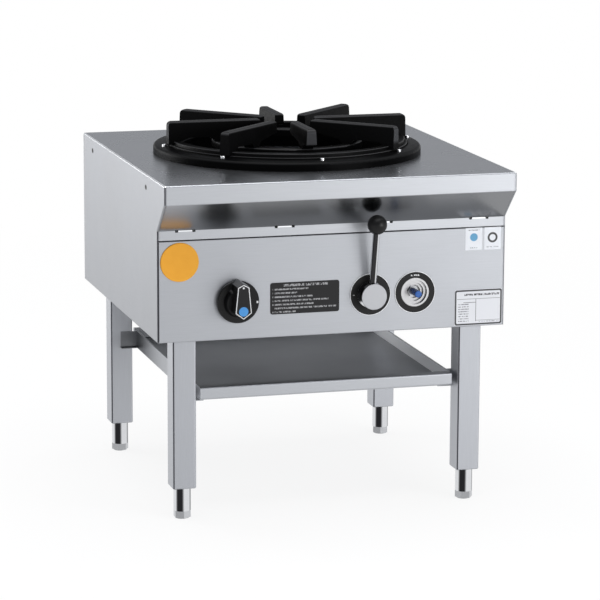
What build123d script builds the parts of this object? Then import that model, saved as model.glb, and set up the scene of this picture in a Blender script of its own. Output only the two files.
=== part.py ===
from build123d import *
from math import atan2, cos, radians, sin, sqrt
import os

# Stock pot range: a low gas range with one large burner, on four legs with a storage shelf.
# Millimetres. X runs to the right, Y to the back and Z up. The origin is on the floor under
# the middle of the housing, so the front of the housing faces -Y.

# ---------------------------------------------------------------- driving dimensions
# Housing
body_width = 600.0
body_depth = 632.0
hob_height = 577.0
body_height = 268.5
fascia_height = 31.5
soffit_reach = 53.0
soffit_drop = 51.0
strip_height = 15.5
side_sheet = 1.5
side_lip = 3.4
side_roll = 2.8
bend_radius = 3.0
seam_gap = 0.4
cut_margin = 1.0

# Hob sheet
hob_sheet = 2.0
hob_side_flange = 28.0
hob_rear_flange = 30.0
hob_strip_return = 16.0
fold_tab_width = 29.0
fold_tab_edge_gaps = (215.5, 47.5)
relief_width = 2.4
relief_depth = 1.5

# Front, back and base sheets
panel_sheet = 1.5
front_panel_setback = 54.5
front_panel_side_gap = 2.4
front_panel_top_gap = 1.8
front_panel_flange = 12.0
back_panel_inset = 40.0
back_panel_flange = 8.0
back_panel_top_gap = 0.5
flange_notch_gap = 1.0
vent_rise = 40.0
vent_width = 90.0
vent_height = 6.0
vent_pitch = 16.0
vent_rows = 5
vent_offset = 110.0
base_pan_drop = 8.0
base_air_hole_radius = 110.0
sheet_clearance = 0.2

# Casing screws
side_screw_setbacks = (130.5, 550.5)
side_screw_depth = 21.5
side_screw_head_radius = 3.2
screw_shank_radius = 2.0
dimple_radius = 7.0
back_screw_offsets = (-150.0, 0.0, 150.0)
back_screw_head_radius = 4.0
back_screw_head_height = 2.4
screw_length = 8.0
screw_clearance = 0.05

# Legs and feet
leg_size = 40.0
leg_wall = 2.0
leg_corner_radius = 3.0
leg_side_inset = 31.5
leg_front_inset = 78.0
leg_rear_inset = 35.5
leg_end_height = 53.0
leg_plate_size = 76.0
leg_plate = 4.0
leg_bolt_offset = 30.0
leg_bolt_radius = 3.0
leg_bolt_head = 3.4
leg_bolt_flats = 10.0
weld_nut_height = 5.0
plug_collar = 4.0
plug_depth = 24.0
plug_chamfer = 1.5
foot_sleeve_radius = 14.6
foot_hex_height = 13.0
foot_hex_flats = 26.0
foot_pad_radius = 12.0
foot_pad_height = 1.6
foot_turns = {"front_left": 29.0, "front_right": -6.0, "back_left": 0.0, "back_right": 15.0}
foot_stem_radius = 8.0
foot_stem_length = 100.0
foot_running_gap = 0.05

# Storage shelf
shelf_height = 201.7
shelf_sheet = 1.5
shelf_lip_height = 21.2
shelf_return = 17.0
shelf_side_gap = 8.8
shelf_leg_setback = 7.0
rail_height = 30.0
rail_flange = 15.0
rail_tab_width = 29.0
rail_tab_flange = 8.0

# Burner ring
burner_x = -6.0
burner_y = 5.0
ring_radius = 231.0
ring_shoulder_height = 14.7
ring_crest_height = 16.8
ring_crest_radius = 215.0
ring_wall_round = 6.0
ring_crest_round = 4.0
ring_edge_round = 2.0
ring_recess_radius = 208.0
ring_recess_height = 12.0
ring_bore_radius = 184.0
ring_skirt_radius = 190.0
ring_skirt_depth = 18.0
ring_core_outer_radius = 211.0
ring_core_inner_radius = 196.0
ring_core_height = 7.0
ring_hole_gap = 1.0
ring_screw_count = 8
ring_screw_circle = 217.4
ring_screw_head_radius = 3.9
ring_screw_top = 20.2
ring_screw_seat = 15.6
ring_screw_length = 24.0
ring_screw_round = 0.8

# Trivet
trivet_height = 59.5
trivet_outer_radius = 207.5
trivet_step_radius = 203.0
trivet_step_height = 19.5
trivet_ring_height = 25.5
trivet_ring_inner_radius = 188.0
trivet_edge_round = 2.0
trivet_step_round = 1.5
hub_ring_outer_radius = 130.0
hub_ring_inner_radius = 113.0
hub_ring_bottom = 11.0
hub_ring_top = 23.0
hub_ring_round = 3.0
fin_count = 8
fin_reach = 211.9
short_fin_reach = 154.0
short_fin_angles = (90.0, 270.0)
fin_inner_radius = 49.6
fin_outer_foot = 20.0
fin_arch_height = 31.0
fin_tip_height = 40.0
fin_top_width = 15.0
fin_draft_angle = 3.3
fin_edge_round = 4.5
fin_end_round = 8.0
fin_inner_round = 5.0
fin_tip_round = 3.0
fin_corner_round = 2.0
fin_ring_overlap = 2.0
fin_haunch_run = 8.0
fin_haunch_rise = 4.0
fin_web_run = 6.0
fin_hub_inset = 3.0
fin_hub_drop = 2.0

# Burner
burner_rim_depth = 25.0
burner_radius = 100.0
burner_wall = 6.0
burner_bowl_height = 32.0
burner_bowl_slope = 30.0
burner_stem_radius = 32.0
burner_base_radius = 40.0
burner_height = 122.0
burner_floor = 10.0
burner_head_rise = 20.0
burner_head_crown_radius = 60.0
burner_head_edge_height = 8.0
burner_head_cavity_height = 4.0
burner_head_crown_inset = 2.0
burner_port_count = 32
burner_port_width = 3.0
burner_port_length = 12.0
burner_port_circle = 77.8
burner_spigot_depth = 5.0
mixing_rise = 32.0
mixing_bore_radius = 20.0
mixing_wall = 4.0
mixing_flange_radius = 28.0
mixing_flange_thickness = 5.0
mixing_flange_offset = 42.0
mixing_bell_length = 36.0
mixing_bell_radius = 30.0
mixing_bell_wall = 3.0
mixing_bell_lip = 14.0
stand_width = 60.0
stand_thickness = 4.0
stand_leg_offset = 125.0
stand_foot_length = 30.0
stand_arm_width = 30.0
stand_upright_height = 50.0
injector_setback = 40.0
injector_tip_gap = 3.0
injector_bore_radius = 2.5
injector_spud_radius = 7.5
injector_spud_length = 26.0
injector_block = 24.0
injector_stub_radius = 8.0
injector_stub_length = 10.0
shutter_radius = 28.0
shutter_thickness = 3.0
shutter_gap = 10.0
shutter_running_gap = 0.1

# Gas train
manifold_radius = 10.65
manifold_drop = 27.5
manifold_setback = 33.5
manifold_overrun = 30.0
manifold_side_gap = 85.0
manifold_end_wall = 4.0
manifold_bend = 40.0
manifold_bore_radius = 8.0
inlet_radius = 13.2
inlet_rear_gap = 5.0
inlet_hex_flats = 34.0
inlet_hex_length = 18.0
inlet_tail = 12.0
inlet_neck_radius = 12.2
inlet_thread_length = 34.0
saddle_radius = 10.0
feed_pipe_radius = 6.0
feed_pipe_bend = 16.0
pilot_pipe_radius = 3.0
pilot_pipe_bend = 20.0
pilot_pipe_rise = 40.0
pilot_circle = 120.0
pilot_angle = 225.0
pilot_spacing = 11.0
pilot_lug_width = 40.0
pilot_lug_overhang = 13.0
pilot_lug_thickness = 6.0
pilot_lug_drop = 22.0
pilot_burner_radius = 6.0
pilot_burner_depth = 32.0
pilot_burner_rise = 6.0
pilot_bore_depth = 15.0
sensor_tail = 5.0
thermocouple_radius = 2.4
thermocouple_rise = 8.0
electrode_radius = 3.6
electrode_pin_radius = 1.2
electrode_sleeve_drop = 2.0
electrode_pin_rise = 9.0
lead_radius = 2.6
lead_bend = 16.0
lead_drop = 40.0
lead_run = 50.0
capillary_radius = 1.2
capillary_run = 20.0

# Controls, all on one height across the front panel
control_drop = 204.5
knob_x = -165.0
lever_x = 64.0
button_x = 142.0
tap_radius = 15.0
tap_length = 55.0
tap_neck_radius = 7.5
tap_neck_reach = 3.0
tap_plug_radius = 9.0
tap_plug_length = 46.0
tap_end_gap = 0.5
knob_spindle_radius = 4.0
knob_spindle_reach = 30.0
knob_spindle_tail = 40.0
knob_skirt_radius = 35.5
knob_skirt_front = 9.5
knob_skirt_edge = 1.5
knob_panel_gap = 4.0
knob_hub_radius = 25.0
knob_hub_top_radius = 22.0
knob_hub_front = 22.0
knob_grip_front = 42.6
knob_grip_top = 36.6
knob_grip_shoulder = (10.0, 31.0)
knob_grip_heel = (14.4, -12.6)
knob_grip_bottom = -23.0
knob_grip_draft = 2.0
knob_grip_round = 0.8
knob_cavity_radius = 31.0
knob_cavity_depth = 3.5
knob_boss_radius = 9.0
knob_boss_gap = 0.25
knob_travel = 3.0
knob_plate_inset = 1.2
knob_plate_thickness = 0.6
valve_radius = 16.0
valve_length = 60.0
valve_neck_radius = 9.0
valve_neck_reach = 4.0
valve_drum_radius = 10.0
valve_drum_length = 38.0
valve_drum_setback = 10.0
lever_spindle_radius = 6.0
lever_spindle_reach = 20.0
running_gap = 0.05
bezel_radius = 35.3
bezel_thickness = 1.2
lever_bezel_bore = 22.3
lever_collar_radius = 22.0
lever_collar_top_radius = 17.0
lever_collar_height = 5.0
lever_hub_radius = 19.0
lever_hub_back = 5.8
lever_hub_front = 22.0
lever_cap_radius = 21.7
lever_cap_thickness = 2.0
lever_cap_round = 0.7
lever_rod_radius = 6.0
lever_rod_exit = (21.5, 14.5)
lever_ball_rise = 123.4
lever_ball_reach = 35.5
lever_ball_radius = 16.3
lever_rod_root = 13.0
lever_ball_socket = 5.0
button_bezel_bore = 24.4
button_radius = 6.0
button_reach = 20.0
button_tail = 20.0
button_travel = 6.0
button_running_gap = 0.1
button_cup_gap = 0.3
button_round = 1.5
cup_sheet = 1.0
cup_flange_radius = 24.2
cup_steps = ((21.0, 3.0), (16.0, 7.0), (11.5, 12.0))
button_nut_flats = 17.0
button_nut_height = 3.5
igniter_radius = 12.0
igniter_length = 45.0
igniter_end_gap = 2.0

# Plates and stickers on the front. A rise is the centre's height over the controls' axis, and an
# edge gap is from a side of the housing to the centre.
instruction_plate_size = (118.5, 53.0)
instruction_plate_x = -49.2
instruction_plate_rise = 1.1
instruction_plate_round = 4.0
plate_thickness = 0.8
rating_plate_size = (84.0, 61.0)
rating_plate_edge_gap = 45.5
rating_plate_rise = -31.2
rating_plate_round = 2.0
film_thickness = 0.3
orange_sticker_thickness = 2.0
orange_sticker_edge_round = 1.8
orange_sticker_radius = 32.4
orange_sticker_edge_gap = 38.0
orange_sticker_rise = 69.5
label_size = (29.5, 38.0)
label_edge_gaps = (55.2, 22.0)
label_rise = 85.5
label_round = 1.0

# ---------------------------------------------------------------- places worked out from them
half_width = body_width / 2
front_y = -body_depth / 2
rear_y = body_depth / 2
body_bottom = hob_height - body_height
soffit_top = hob_height - fascia_height
soffit_bottom = soffit_top - soffit_drop
strip_y = front_y + soffit_reach
strip_bottom = soffit_bottom - strip_height
panel_y = front_y + front_panel_setback
panel_back_y = panel_y + panel_sheet
panel_top = strip_bottom - front_panel_top_gap
side_inner_x = half_width - side_sheet
hob_half_width = half_width - side_lip - seam_gap
sheet_half_width = side_inner_x - sheet_clearance
pan_bottom = body_bottom + panel_sheet
pan_underside = pan_bottom + base_pan_drop
pan_top = pan_underside + panel_sheet
pan_front_y = panel_back_y + sheet_clearance
pan_rear_y = rear_y - side_sheet - sheet_clearance
back_panel_y = rear_y - back_panel_inset
leg_x = half_width - leg_side_inset - leg_size / 2
leg_front_y = front_y + leg_front_inset + leg_size / 2
leg_back_y = rear_y - leg_rear_inset - leg_size / 2
leg_top = pan_underside - leg_plate
leg_corners = {
    "front_left": (-leg_x, leg_front_y),
    "front_right": (leg_x, leg_front_y),
    "back_left": (-leg_x, leg_back_y),
    "back_right": (leg_x, leg_back_y),
}
shelf_top = shelf_height + shelf_lip_height
shelf_half_width = leg_x - leg_size / 2 - shelf_side_gap
control_height = hob_height - control_drop
lever_lean = atan2(
    lever_ball_reach - lever_rod_exit[1],
    lever_ball_rise - lever_rod_exit[0],
)
lever_direction = Vector(0, -sin(lever_lean), cos(lever_lean))
lever_ball_centre = Vector(lever_x, panel_y - lever_ball_reach, control_height + lever_ball_rise)
manifold_y = panel_y + manifold_setback
manifold_height = control_height - manifold_drop
manifold_left = knob_x - manifold_overrun
manifold_right = half_width - manifold_side_gap
burner_rim_z = hob_height - burner_rim_depth
burner_base_z = burner_rim_z - burner_height
mixing_height = burner_base_z + mixing_rise
mixing_flange_y = burner_y - mixing_flange_offset
injector_y = manifold_y + injector_setback
injector_front_y = injector_y - injector_block / 2
injector_rear_y = injector_y + injector_block / 2
spud_end_y = injector_rear_y + injector_spud_length
mixing_mouth_y = spud_end_y + injector_tip_gap
pilot_burner_bottom = burner_rim_z - pilot_burner_depth
pilot_burner_top = burner_rim_z + pilot_burner_rise
sensor_bottom = pilot_burner_bottom - sensor_tail
screw_hole_radius = screw_shank_radius + screw_clearance


def block(x_range, y_range, z_range):
    """A block between two planes along each axis."""
    ranges = (x_range, y_range, z_range)
    sizes = [high - low for low, high in ranges]
    centre = [(low + high) / 2 for low, high in ranges]
    return Location(tuple(centre)) * Box(*sizes)


def bar_along_y(x, z, radius, y_start, y_end):
    """A round bar along Y between two planes."""
    plane = Plane(origin=(x, y_start, z), x_dir=(1, 0, 0), z_dir=(0, 1, 0))
    return extrude(plane * Circle(radius), y_end - y_start)


def bar_along_x(y, z, radius, x_start, x_end):
    """A round bar along X between two planes."""
    plane = Plane(origin=(x_start, y, z), x_dir=(0, 1, 0), z_dir=(1, 0, 0))
    return extrude(plane * Circle(radius), x_end - x_start)


def bar_along_z(x, y, radius, z_start, z_end):
    """A round bar along Z between two planes."""
    return extrude(Plane(origin=(x, y, z_start)) * Circle(radius), z_end - z_start)


def hex_along_z(x, y, flats, z_start, z_end, turn=0.0):
    """A hexagonal bar along Z, given its width across flats, turned about its own axis."""
    outline = RegularPolygon(flats / sqrt(3), 6, rotation=turn)
    return extrude(Plane(origin=(x, y, z_start)) * outline, z_end - z_start)


def rounded_outline(corners):
    """A closed outline. Each corner is (x, y), or (x, y, radius) where it is rounded."""
    outline = make_face(Polyline([corner[:2] for corner in corners], close=True))
    sketch = Sketch() + outline
    for corner in corners:
        if len(corner) == 3:
            vertex = sketch.vertices().sort_by_distance((corner[0], corner[1], 0))[0]
            sketch = fillet(vertex, corner[2])
    return sketch


def turned_on_panel(x, profile):
    """A solid turned about a control's axis, from (radius, distance out of the panel) points."""
    plane = Plane(origin=(x, panel_y, control_height), x_dir=(1, 0, 0), z_dir=(0, 0, -1))
    face = plane * make_face(Polyline(profile, close=True))
    return revolve(face, Axis((x, panel_y, control_height), (0, -1, 0)))


def turned_on_burner(sketch, base_height):
    """A solid turned about the burner's axis, from a sketch of (radius, height over a base)."""
    plane = Plane(origin=(burner_x, burner_y, base_height), x_dir=(1, 0, 0), z_dir=(0, -1, 0))
    return revolve(plane * sketch, Axis((burner_x, burner_y, 0), (0, 0, 1)))


def outward(distance):
    """The Y of a point that stands a distance out of the front panel."""
    return panel_y - distance


def mirrored_pair(part):
    """A right-hand part and its left-hand twin."""
    return part, mirror(part, about=Plane.YZ)


def bent_rod(points, bend, radius):
    """A round rod along straight runs with tangent bends."""
    path = FilletPolyline(*points, radius=bend)
    start = Plane(origin=path @ 0, z_dir=path % 0)
    return sweep(start * Circle(radius), path=path)


def save(name, part):
    """Write one named piece, or one group of like pieces."""
    export_step(part, f"parts/{name}.step")


# ---------------------------------------------------------------- housing
def housing_outline(bottom):
    """The side elevation of the housing: flat top, fascia, sloping soffit and straight front."""
    return rounded_outline(
        [
            (rear_y, hob_height, bend_radius),
            (front_y, hob_height, bend_radius),
            (front_y, soffit_top, bend_radius),
            (strip_y, soffit_bottom),
            (strip_y, bottom),
            (rear_y, bottom),
        ]
    )


def side_panel_right():
    """A side sheet whose top, fascia, soffit and rear edges are rolled inwards as a narrow lip."""
    outline = housing_outline(body_bottom)
    shell = extrude(Plane.YZ.offset(half_width - side_lip) * outline, side_lip)
    shell = fillet(shell.faces().sort_by(Axis.X)[-1].edges(), side_roll)
    inner = offset(outline, -side_sheet, kind=Kind.INTERSECTION)
    shell -= extrude(Plane.YZ.offset(half_width - side_lip) * inner, side_lip - side_sheet)
    lip_range = (half_width - side_lip, side_inner_x)
    shell -= block(lip_range, (strip_y, strip_y + side_sheet), (body_bottom, strip_bottom))
    shell -= block(lip_range, (strip_y, rear_y - side_sheet), (body_bottom, body_bottom + side_sheet))
    for setback in side_screw_setbacks:
        hole_radius = side_screw_head_radius + screw_clearance
        screw_z = hob_height - side_screw_depth
        shell -= bar_along_x(front_y + setback, screw_z, hole_radius, side_inner_x, half_width)
    return shell


def hob_top():
    """One folded sheet: the top with the burner cut-out, the fascia, the soffit and a strip."""
    outline = housing_outline(strip_bottom)
    inner = offset(outline, -hob_sheet, kind=Kind.INTERSECTION)
    below_flange = make_face(
        Polyline(
            (strip_y + hob_strip_return, strip_bottom - cut_margin),
            (rear_y + cut_margin, strip_bottom - cut_margin),
            (rear_y + cut_margin, hob_height - hob_rear_flange),
            (strip_y + hob_strip_return, hob_height - hob_rear_flange),
            close=True,
        )
    )
    section = outline - inner - below_flange
    sheet = extrude(Plane.YZ.offset(-hob_half_width) * section, 2 * hob_half_width)
    sheet -= bar_along_z(
        burner_x,
        burner_y,
        ring_skirt_radius + ring_hole_gap,
        hob_height - hob_sheet,
        hob_height,
    )
    flange_z = (hob_height - hob_sheet - hob_side_flange, hob_height - hob_sheet)
    flange_y = (front_y + 2 * hob_sheet, rear_y - hob_sheet)
    for side in (-1, 1):
        flange_x = sorted((side * hob_half_width, side * (hob_half_width - hob_sheet)))
        sheet += block(flange_x, flange_y, flange_z)
        for setback in side_screw_setbacks:
            screw_y = front_y + setback
            screw_z = hob_height - side_screw_depth
            dimple = bar_along_x(
                screw_y, screw_z, dimple_radius, side * hob_half_width, side * side_inner_x
            )
            hole = bar_along_x(
                screw_y,
                screw_z,
                screw_hole_radius,
                side * (hob_half_width - hob_sheet),
                side * side_inner_x,
            )
            sheet = sheet + dimple - hole
    for gap in fold_tab_edge_gaps:
        for side in (-1, 1):
            for end in (-1, 1):
                relief_x = side * (half_width - gap) + end * fold_tab_width / 2
                sheet -= block(
                    (relief_x - relief_width / 2, relief_x + relief_width / 2),
                    (strip_y - relief_depth, strip_y + 2 * relief_depth),
                    (soffit_bottom - relief_depth, soffit_bottom + relief_depth),
                )
    for x, y in ring_screw_places():
        sheet -= bar_along_z(x, y, screw_hole_radius, hob_height - hob_sheet, hob_height)
    return sheet


def front_panel():
    """The plain front sheet, with its four edges turned back and holes for the controls."""
    half = half_width - front_panel_side_gap
    y_range = (panel_y, panel_y + front_panel_flange)
    sheet = block((-half, half), y_range, (body_bottom, panel_top))
    sheet = fillet(sheet.faces().sort_by(Axis.Y)[0].edges(), panel_sheet)
    sheet -= block(
        (-half + panel_sheet, half - panel_sheet),
        (panel_back_y, panel_y + front_panel_flange),
        (body_bottom + panel_sheet, panel_top - panel_sheet),
    )
    holes = (
        (knob_x, tap_neck_radius + sheet_clearance),
        (lever_x, valve_neck_radius + sheet_clearance),
        (button_x, cup_steps[0][0] + cup_sheet + sheet_clearance),
    )
    for x, radius in holes:
        sheet -= bar_along_y(x, control_height, radius, panel_y, panel_back_y)
    return sheet


def back_panel():
    """The inset rear sheet, with louvre slots, a hole for the inlet and edges turned back."""
    y_range = (back_panel_y - panel_sheet, back_panel_y + back_panel_flange)
    top = hob_height - hob_sheet - back_panel_top_gap
    sheet = block((-sheet_half_width, sheet_half_width), y_range, (pan_top, top))
    sheet -= block(
        (-sheet_half_width + panel_sheet, sheet_half_width - panel_sheet),
        (back_panel_y, back_panel_y + back_panel_flange),
        (pan_top + panel_sheet, top),
    )
    flange_z = hob_height - hob_sheet - hob_side_flange
    for side in (-1, 1):
        notch = sorted((side * (hob_half_width - hob_sheet - flange_notch_gap), side * sheet_half_width))
        sheet -= block(notch, y_range, (flange_z - flange_notch_gap, top))
        for row in range(vent_rows):
            slot_z = control_height + vent_rise + row * vent_pitch
            slot = Plane(
                origin=(side * vent_offset, back_panel_y - panel_sheet, slot_z),
                x_dir=(1, 0, 0),
                z_dir=(0, 1, 0),
            )
            sheet -= extrude(slot * SlotOverall(vent_width, vent_height), panel_sheet)
    sheet -= bar_along_y(
        manifold_right,
        manifold_height,
        inlet_radius + sheet_clearance,
        back_panel_y - panel_sheet,
        back_panel_y,
    )
    for x in back_screw_offsets:
        screw_y = back_panel_y + back_panel_flange / 2
        sheet -= bar_along_z(x, screw_y, screw_hole_radius, pan_top, pan_top + panel_sheet)
    return sheet


def leg_bolt_places():
    """The four bolts of every leg plate."""
    offsets = (-leg_bolt_offset, leg_bolt_offset)
    return [(x + dx, y + dy) for x, y in leg_corners.values() for dx in offsets for dy in offsets]


def base_pan():
    """The bottom sheet, its edges turned down, with an air hole and a nut welded at each bolt."""
    outer = (-sheet_half_width, sheet_half_width)
    inner = (-sheet_half_width + panel_sheet, sheet_half_width - panel_sheet)
    pan = block(outer, (pan_front_y, pan_rear_y), (pan_bottom, pan_top))
    pan -= block(
        inner,
        (pan_front_y + panel_sheet, pan_rear_y - panel_sheet),
        (pan_bottom, pan_underside),
    )
    pan -= bar_along_z(burner_x, burner_y, base_air_hole_radius, pan_underside, pan_top)
    notch_start = half_width - front_panel_side_gap - panel_sheet - sheet_clearance
    notch_y = (pan_front_y, panel_y + front_panel_flange + sheet_clearance)
    for side in (-1, 1):
        notch_x = sorted((side * notch_start, side * half_width))
        pan -= block(notch_x, notch_y, (pan_bottom, pan_top))
    hole_radius = leg_bolt_radius + screw_clearance
    for x, y in leg_bolt_places():
        pan += hex_along_z(x, y, leg_bolt_flats, pan_top, pan_top + weld_nut_height)
        pan -= bar_along_z(x, y, hole_radius, pan_underside, pan_top + weld_nut_height)
    for x in back_screw_offsets:
        screw_y = back_panel_y + back_panel_flange / 2
        pan -= bar_along_z(x, screw_y, screw_hole_radius, pan_underside, pan_top)
    return pan


def casing_screws():
    """The flush screws in the side panels and the pan-head screws of the back panel."""
    screws = []
    screw_z = hob_height - side_screw_depth
    for side in (-1, 1):
        for setback in side_screw_setbacks:
            y = front_y + setback
            head = bar_along_x(
                y, screw_z, side_screw_head_radius, side * side_inner_x, side * half_width
            )
            shank = bar_along_x(
                y,
                screw_z,
                screw_shank_radius,
                side * (side_inner_x - screw_length),
                side * side_inner_x,
            )
            screws.append(head + shank)
    seat = pan_top + panel_sheet
    for x in back_screw_offsets:
        y = back_panel_y + back_panel_flange / 2
        head = bar_along_z(x, y, back_screw_head_radius, seat, seat + back_screw_head_height)
        shank = bar_along_z(x, y, screw_shank_radius, seat - screw_length, seat)
        screws.append(head + shank)
    return Compound(children=screws)


# ---------------------------------------------------------------- legs and feet
def leg(x, y):
    """A square tube with a bolting plate welded across its top."""
    tube_plane = Plane(origin=(x, y, leg_end_height + plug_collar))
    outer = RectangleRounded(leg_size, leg_size, leg_corner_radius)
    bore_size = leg_size - 2 * leg_wall
    bore = RectangleRounded(bore_size, bore_size, leg_corner_radius - leg_wall)
    tube = extrude(tube_plane * (outer - bore), leg_top - leg_end_height - plug_collar)
    half = leg_plate_size / 2
    plate = block((x - half, x + half), (y - half, y + half), (leg_top, pan_underside))
    for dx in (-leg_bolt_offset, leg_bolt_offset):
        for dy in (-leg_bolt_offset, leg_bolt_offset):
            hole_radius = leg_bolt_radius + screw_clearance
            plate -= bar_along_z(x + dx, y + dy, hole_radius, leg_top, pan_underside)
    return tube + plate


def leg_end_plug(x, y):
    """The plug pressed into a leg's open end, with a collar and the bore for the foot's stem."""
    collar = extrude(
        Plane(origin=(x, y, leg_end_height)) * RectangleRounded(leg_size, leg_size, leg_corner_radius),
        plug_collar,
    )
    collar = chamfer(collar.faces().sort_by(Axis.Z)[0].edges(), plug_chamfer)
    core_size = leg_size - 2 * leg_wall - 2 * foot_running_gap
    core = extrude(
        Plane(origin=(x, y, leg_end_height + plug_collar))
        * RectangleRounded(core_size, core_size, leg_corner_radius - leg_wall),
        plug_depth,
    )
    bore_radius = foot_stem_radius + foot_running_gap
    top = leg_end_height + plug_collar + plug_depth
    return collar + core - bar_along_z(x, y, bore_radius, leg_end_height, top)


def foot_sleeve(x, y):
    """The chromed sleeve under a leg, around the foot's stem."""
    sleeve = bar_along_z(x, y, foot_sleeve_radius, foot_hex_height, leg_end_height)
    bore_radius = foot_stem_radius + foot_running_gap
    return sleeve - bar_along_z(x, y, bore_radius, foot_hex_height, leg_end_height)


def foot(x, y, turn):
    """A levelling foot: a hexagon to turn it by, a round pad and a stem up into the leg."""
    pad = bar_along_z(x, y, foot_pad_radius, 0, foot_pad_height)
    hexagon = hex_along_z(x, y, foot_hex_flats, foot_pad_height, foot_hex_height, turn)
    stem = bar_along_z(x, y, foot_stem_radius, foot_hex_height, foot_stem_length)
    return pad + hexagon + stem


def leg_bolts():
    """The hexagon bolts that go up through the leg plates into the welded nuts."""
    bolts = []
    for x, y in leg_bolt_places():
        head = hex_along_z(x, y, leg_bolt_flats, leg_top - leg_bolt_head, leg_top)
        shank = bar_along_z(x, y, leg_bolt_radius, leg_top, pan_top + weld_nut_height)
        bolts.append(head + shank)
    return Compound(children=bolts)


# ---------------------------------------------------------------- storage shelf
def shelf_tray():
    """A folded tray with upstand sides and front and rear lips that return inwards."""
    half = shelf_half_width
    front = leg_front_y - leg_size / 2 + shelf_leg_setback
    rear = leg_back_y + leg_size / 2 - shelf_leg_setback
    tray = block((-half, half), (front, rear), (shelf_height, shelf_top))
    long_edges = tray.edges().filter_by(Axis.X)
    tray = fillet(long_edges, 2 * shelf_sheet)
    section = rounded_outline(
        [
            (front + shelf_sheet, shelf_height + shelf_sheet, shelf_sheet),
            (rear - shelf_sheet, shelf_height + shelf_sheet, shelf_sheet),
            (rear - shelf_sheet, shelf_top - shelf_sheet, shelf_sheet),
            (front + shelf_sheet, shelf_top - shelf_sheet, shelf_sheet),
        ]
    )
    inner_half = half - shelf_sheet
    tray -= extrude(Plane.YZ.offset(-inner_half) * section, 2 * inner_half)
    tray -= block(
        (-inner_half, inner_half),
        (front + shelf_return, rear - shelf_return),
        (shelf_top - shelf_sheet, shelf_top),
    )
    return tray


def shelf_rail_right():
    """An angle between a front and a back leg, with a tab turned out against each leg."""
    front = leg_front_y + leg_size / 2
    rear = leg_back_y - leg_size / 2
    bottom = shelf_top - rail_height
    outer_x = shelf_half_width + shelf_sheet
    rail = block((shelf_half_width, outer_x), (front, rear), (bottom, shelf_top))
    rail += block((outer_x - rail_flange, outer_x), (front, rear), (bottom, bottom + shelf_sheet))
    tab_x = (outer_x, outer_x + rail_tab_width)
    for end, inward in ((front, 1), (rear, -1)):
        tab_y = sorted((end, end + inward * shelf_sheet))
        foot_y = sorted((end, end + inward * rail_tab_flange))
        rail += block(tab_x, tab_y, (bottom, shelf_top))
        rail += block(tab_x, foot_y, (bottom, bottom + shelf_sheet))
    return rail


# ---------------------------------------------------------------- burner ring and trivet
def ring_screw_places():
    """The screws of the burner ring, evenly around it."""
    step = 360 / ring_screw_count
    places = []
    for index in range(ring_screw_count):
        angle = radians(index * step)
        x = burner_x + ring_screw_circle * cos(angle)
        y = burner_y + ring_screw_circle * sin(angle)
        places.append((x, y))
    return places


def burner_ring():
    """The cast ring on the hob: a rounded wall, a sloping flange, a recess and a skirt."""
    section = rounded_outline(
        [
            (ring_radius, 0),
            (ring_radius, ring_shoulder_height, ring_wall_round),
            (ring_crest_radius, ring_crest_height, ring_crest_round),
            (ring_recess_radius, ring_crest_height, ring_edge_round),
            (ring_recess_radius, ring_recess_height),
            (ring_bore_radius, ring_recess_height, ring_edge_round),
            (ring_bore_radius, -ring_skirt_depth),
            (ring_skirt_radius, -ring_skirt_depth),
            (ring_skirt_radius, 0),
            (ring_core_inner_radius, 0),
            (ring_core_inner_radius, ring_core_height),
            (ring_core_outer_radius, ring_core_height),
            (ring_core_outer_radius, 0),
        ]
    )
    ring = turned_on_burner(section, hob_height)
    for x, y in ring_screw_places():
        seat_radius = ring_screw_head_radius + 2 * screw_clearance
        seat = (hob_height + ring_screw_seat, hob_height + ring_screw_top)
        ring -= bar_along_z(x, y, seat_radius, *seat)
        ring -= bar_along_z(x, y, screw_hole_radius, hob_height, seat[0])
    return ring


def ring_screws():
    """The eight small cap screws that hold the burner ring to the hob."""
    screws = []
    for x, y in ring_screw_places():
        seat = hob_height + ring_screw_seat
        head = bar_along_z(x, y, ring_screw_head_radius, seat, hob_height + ring_screw_top)
        head = fillet(head.faces().sort_by(Axis.Z)[-1].edges(), ring_screw_round)
        shank = bar_along_z(x, y, screw_shank_radius, seat - ring_screw_length, seat)
        screws.append(head + shank)
    return Compound(children=screws)


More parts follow.
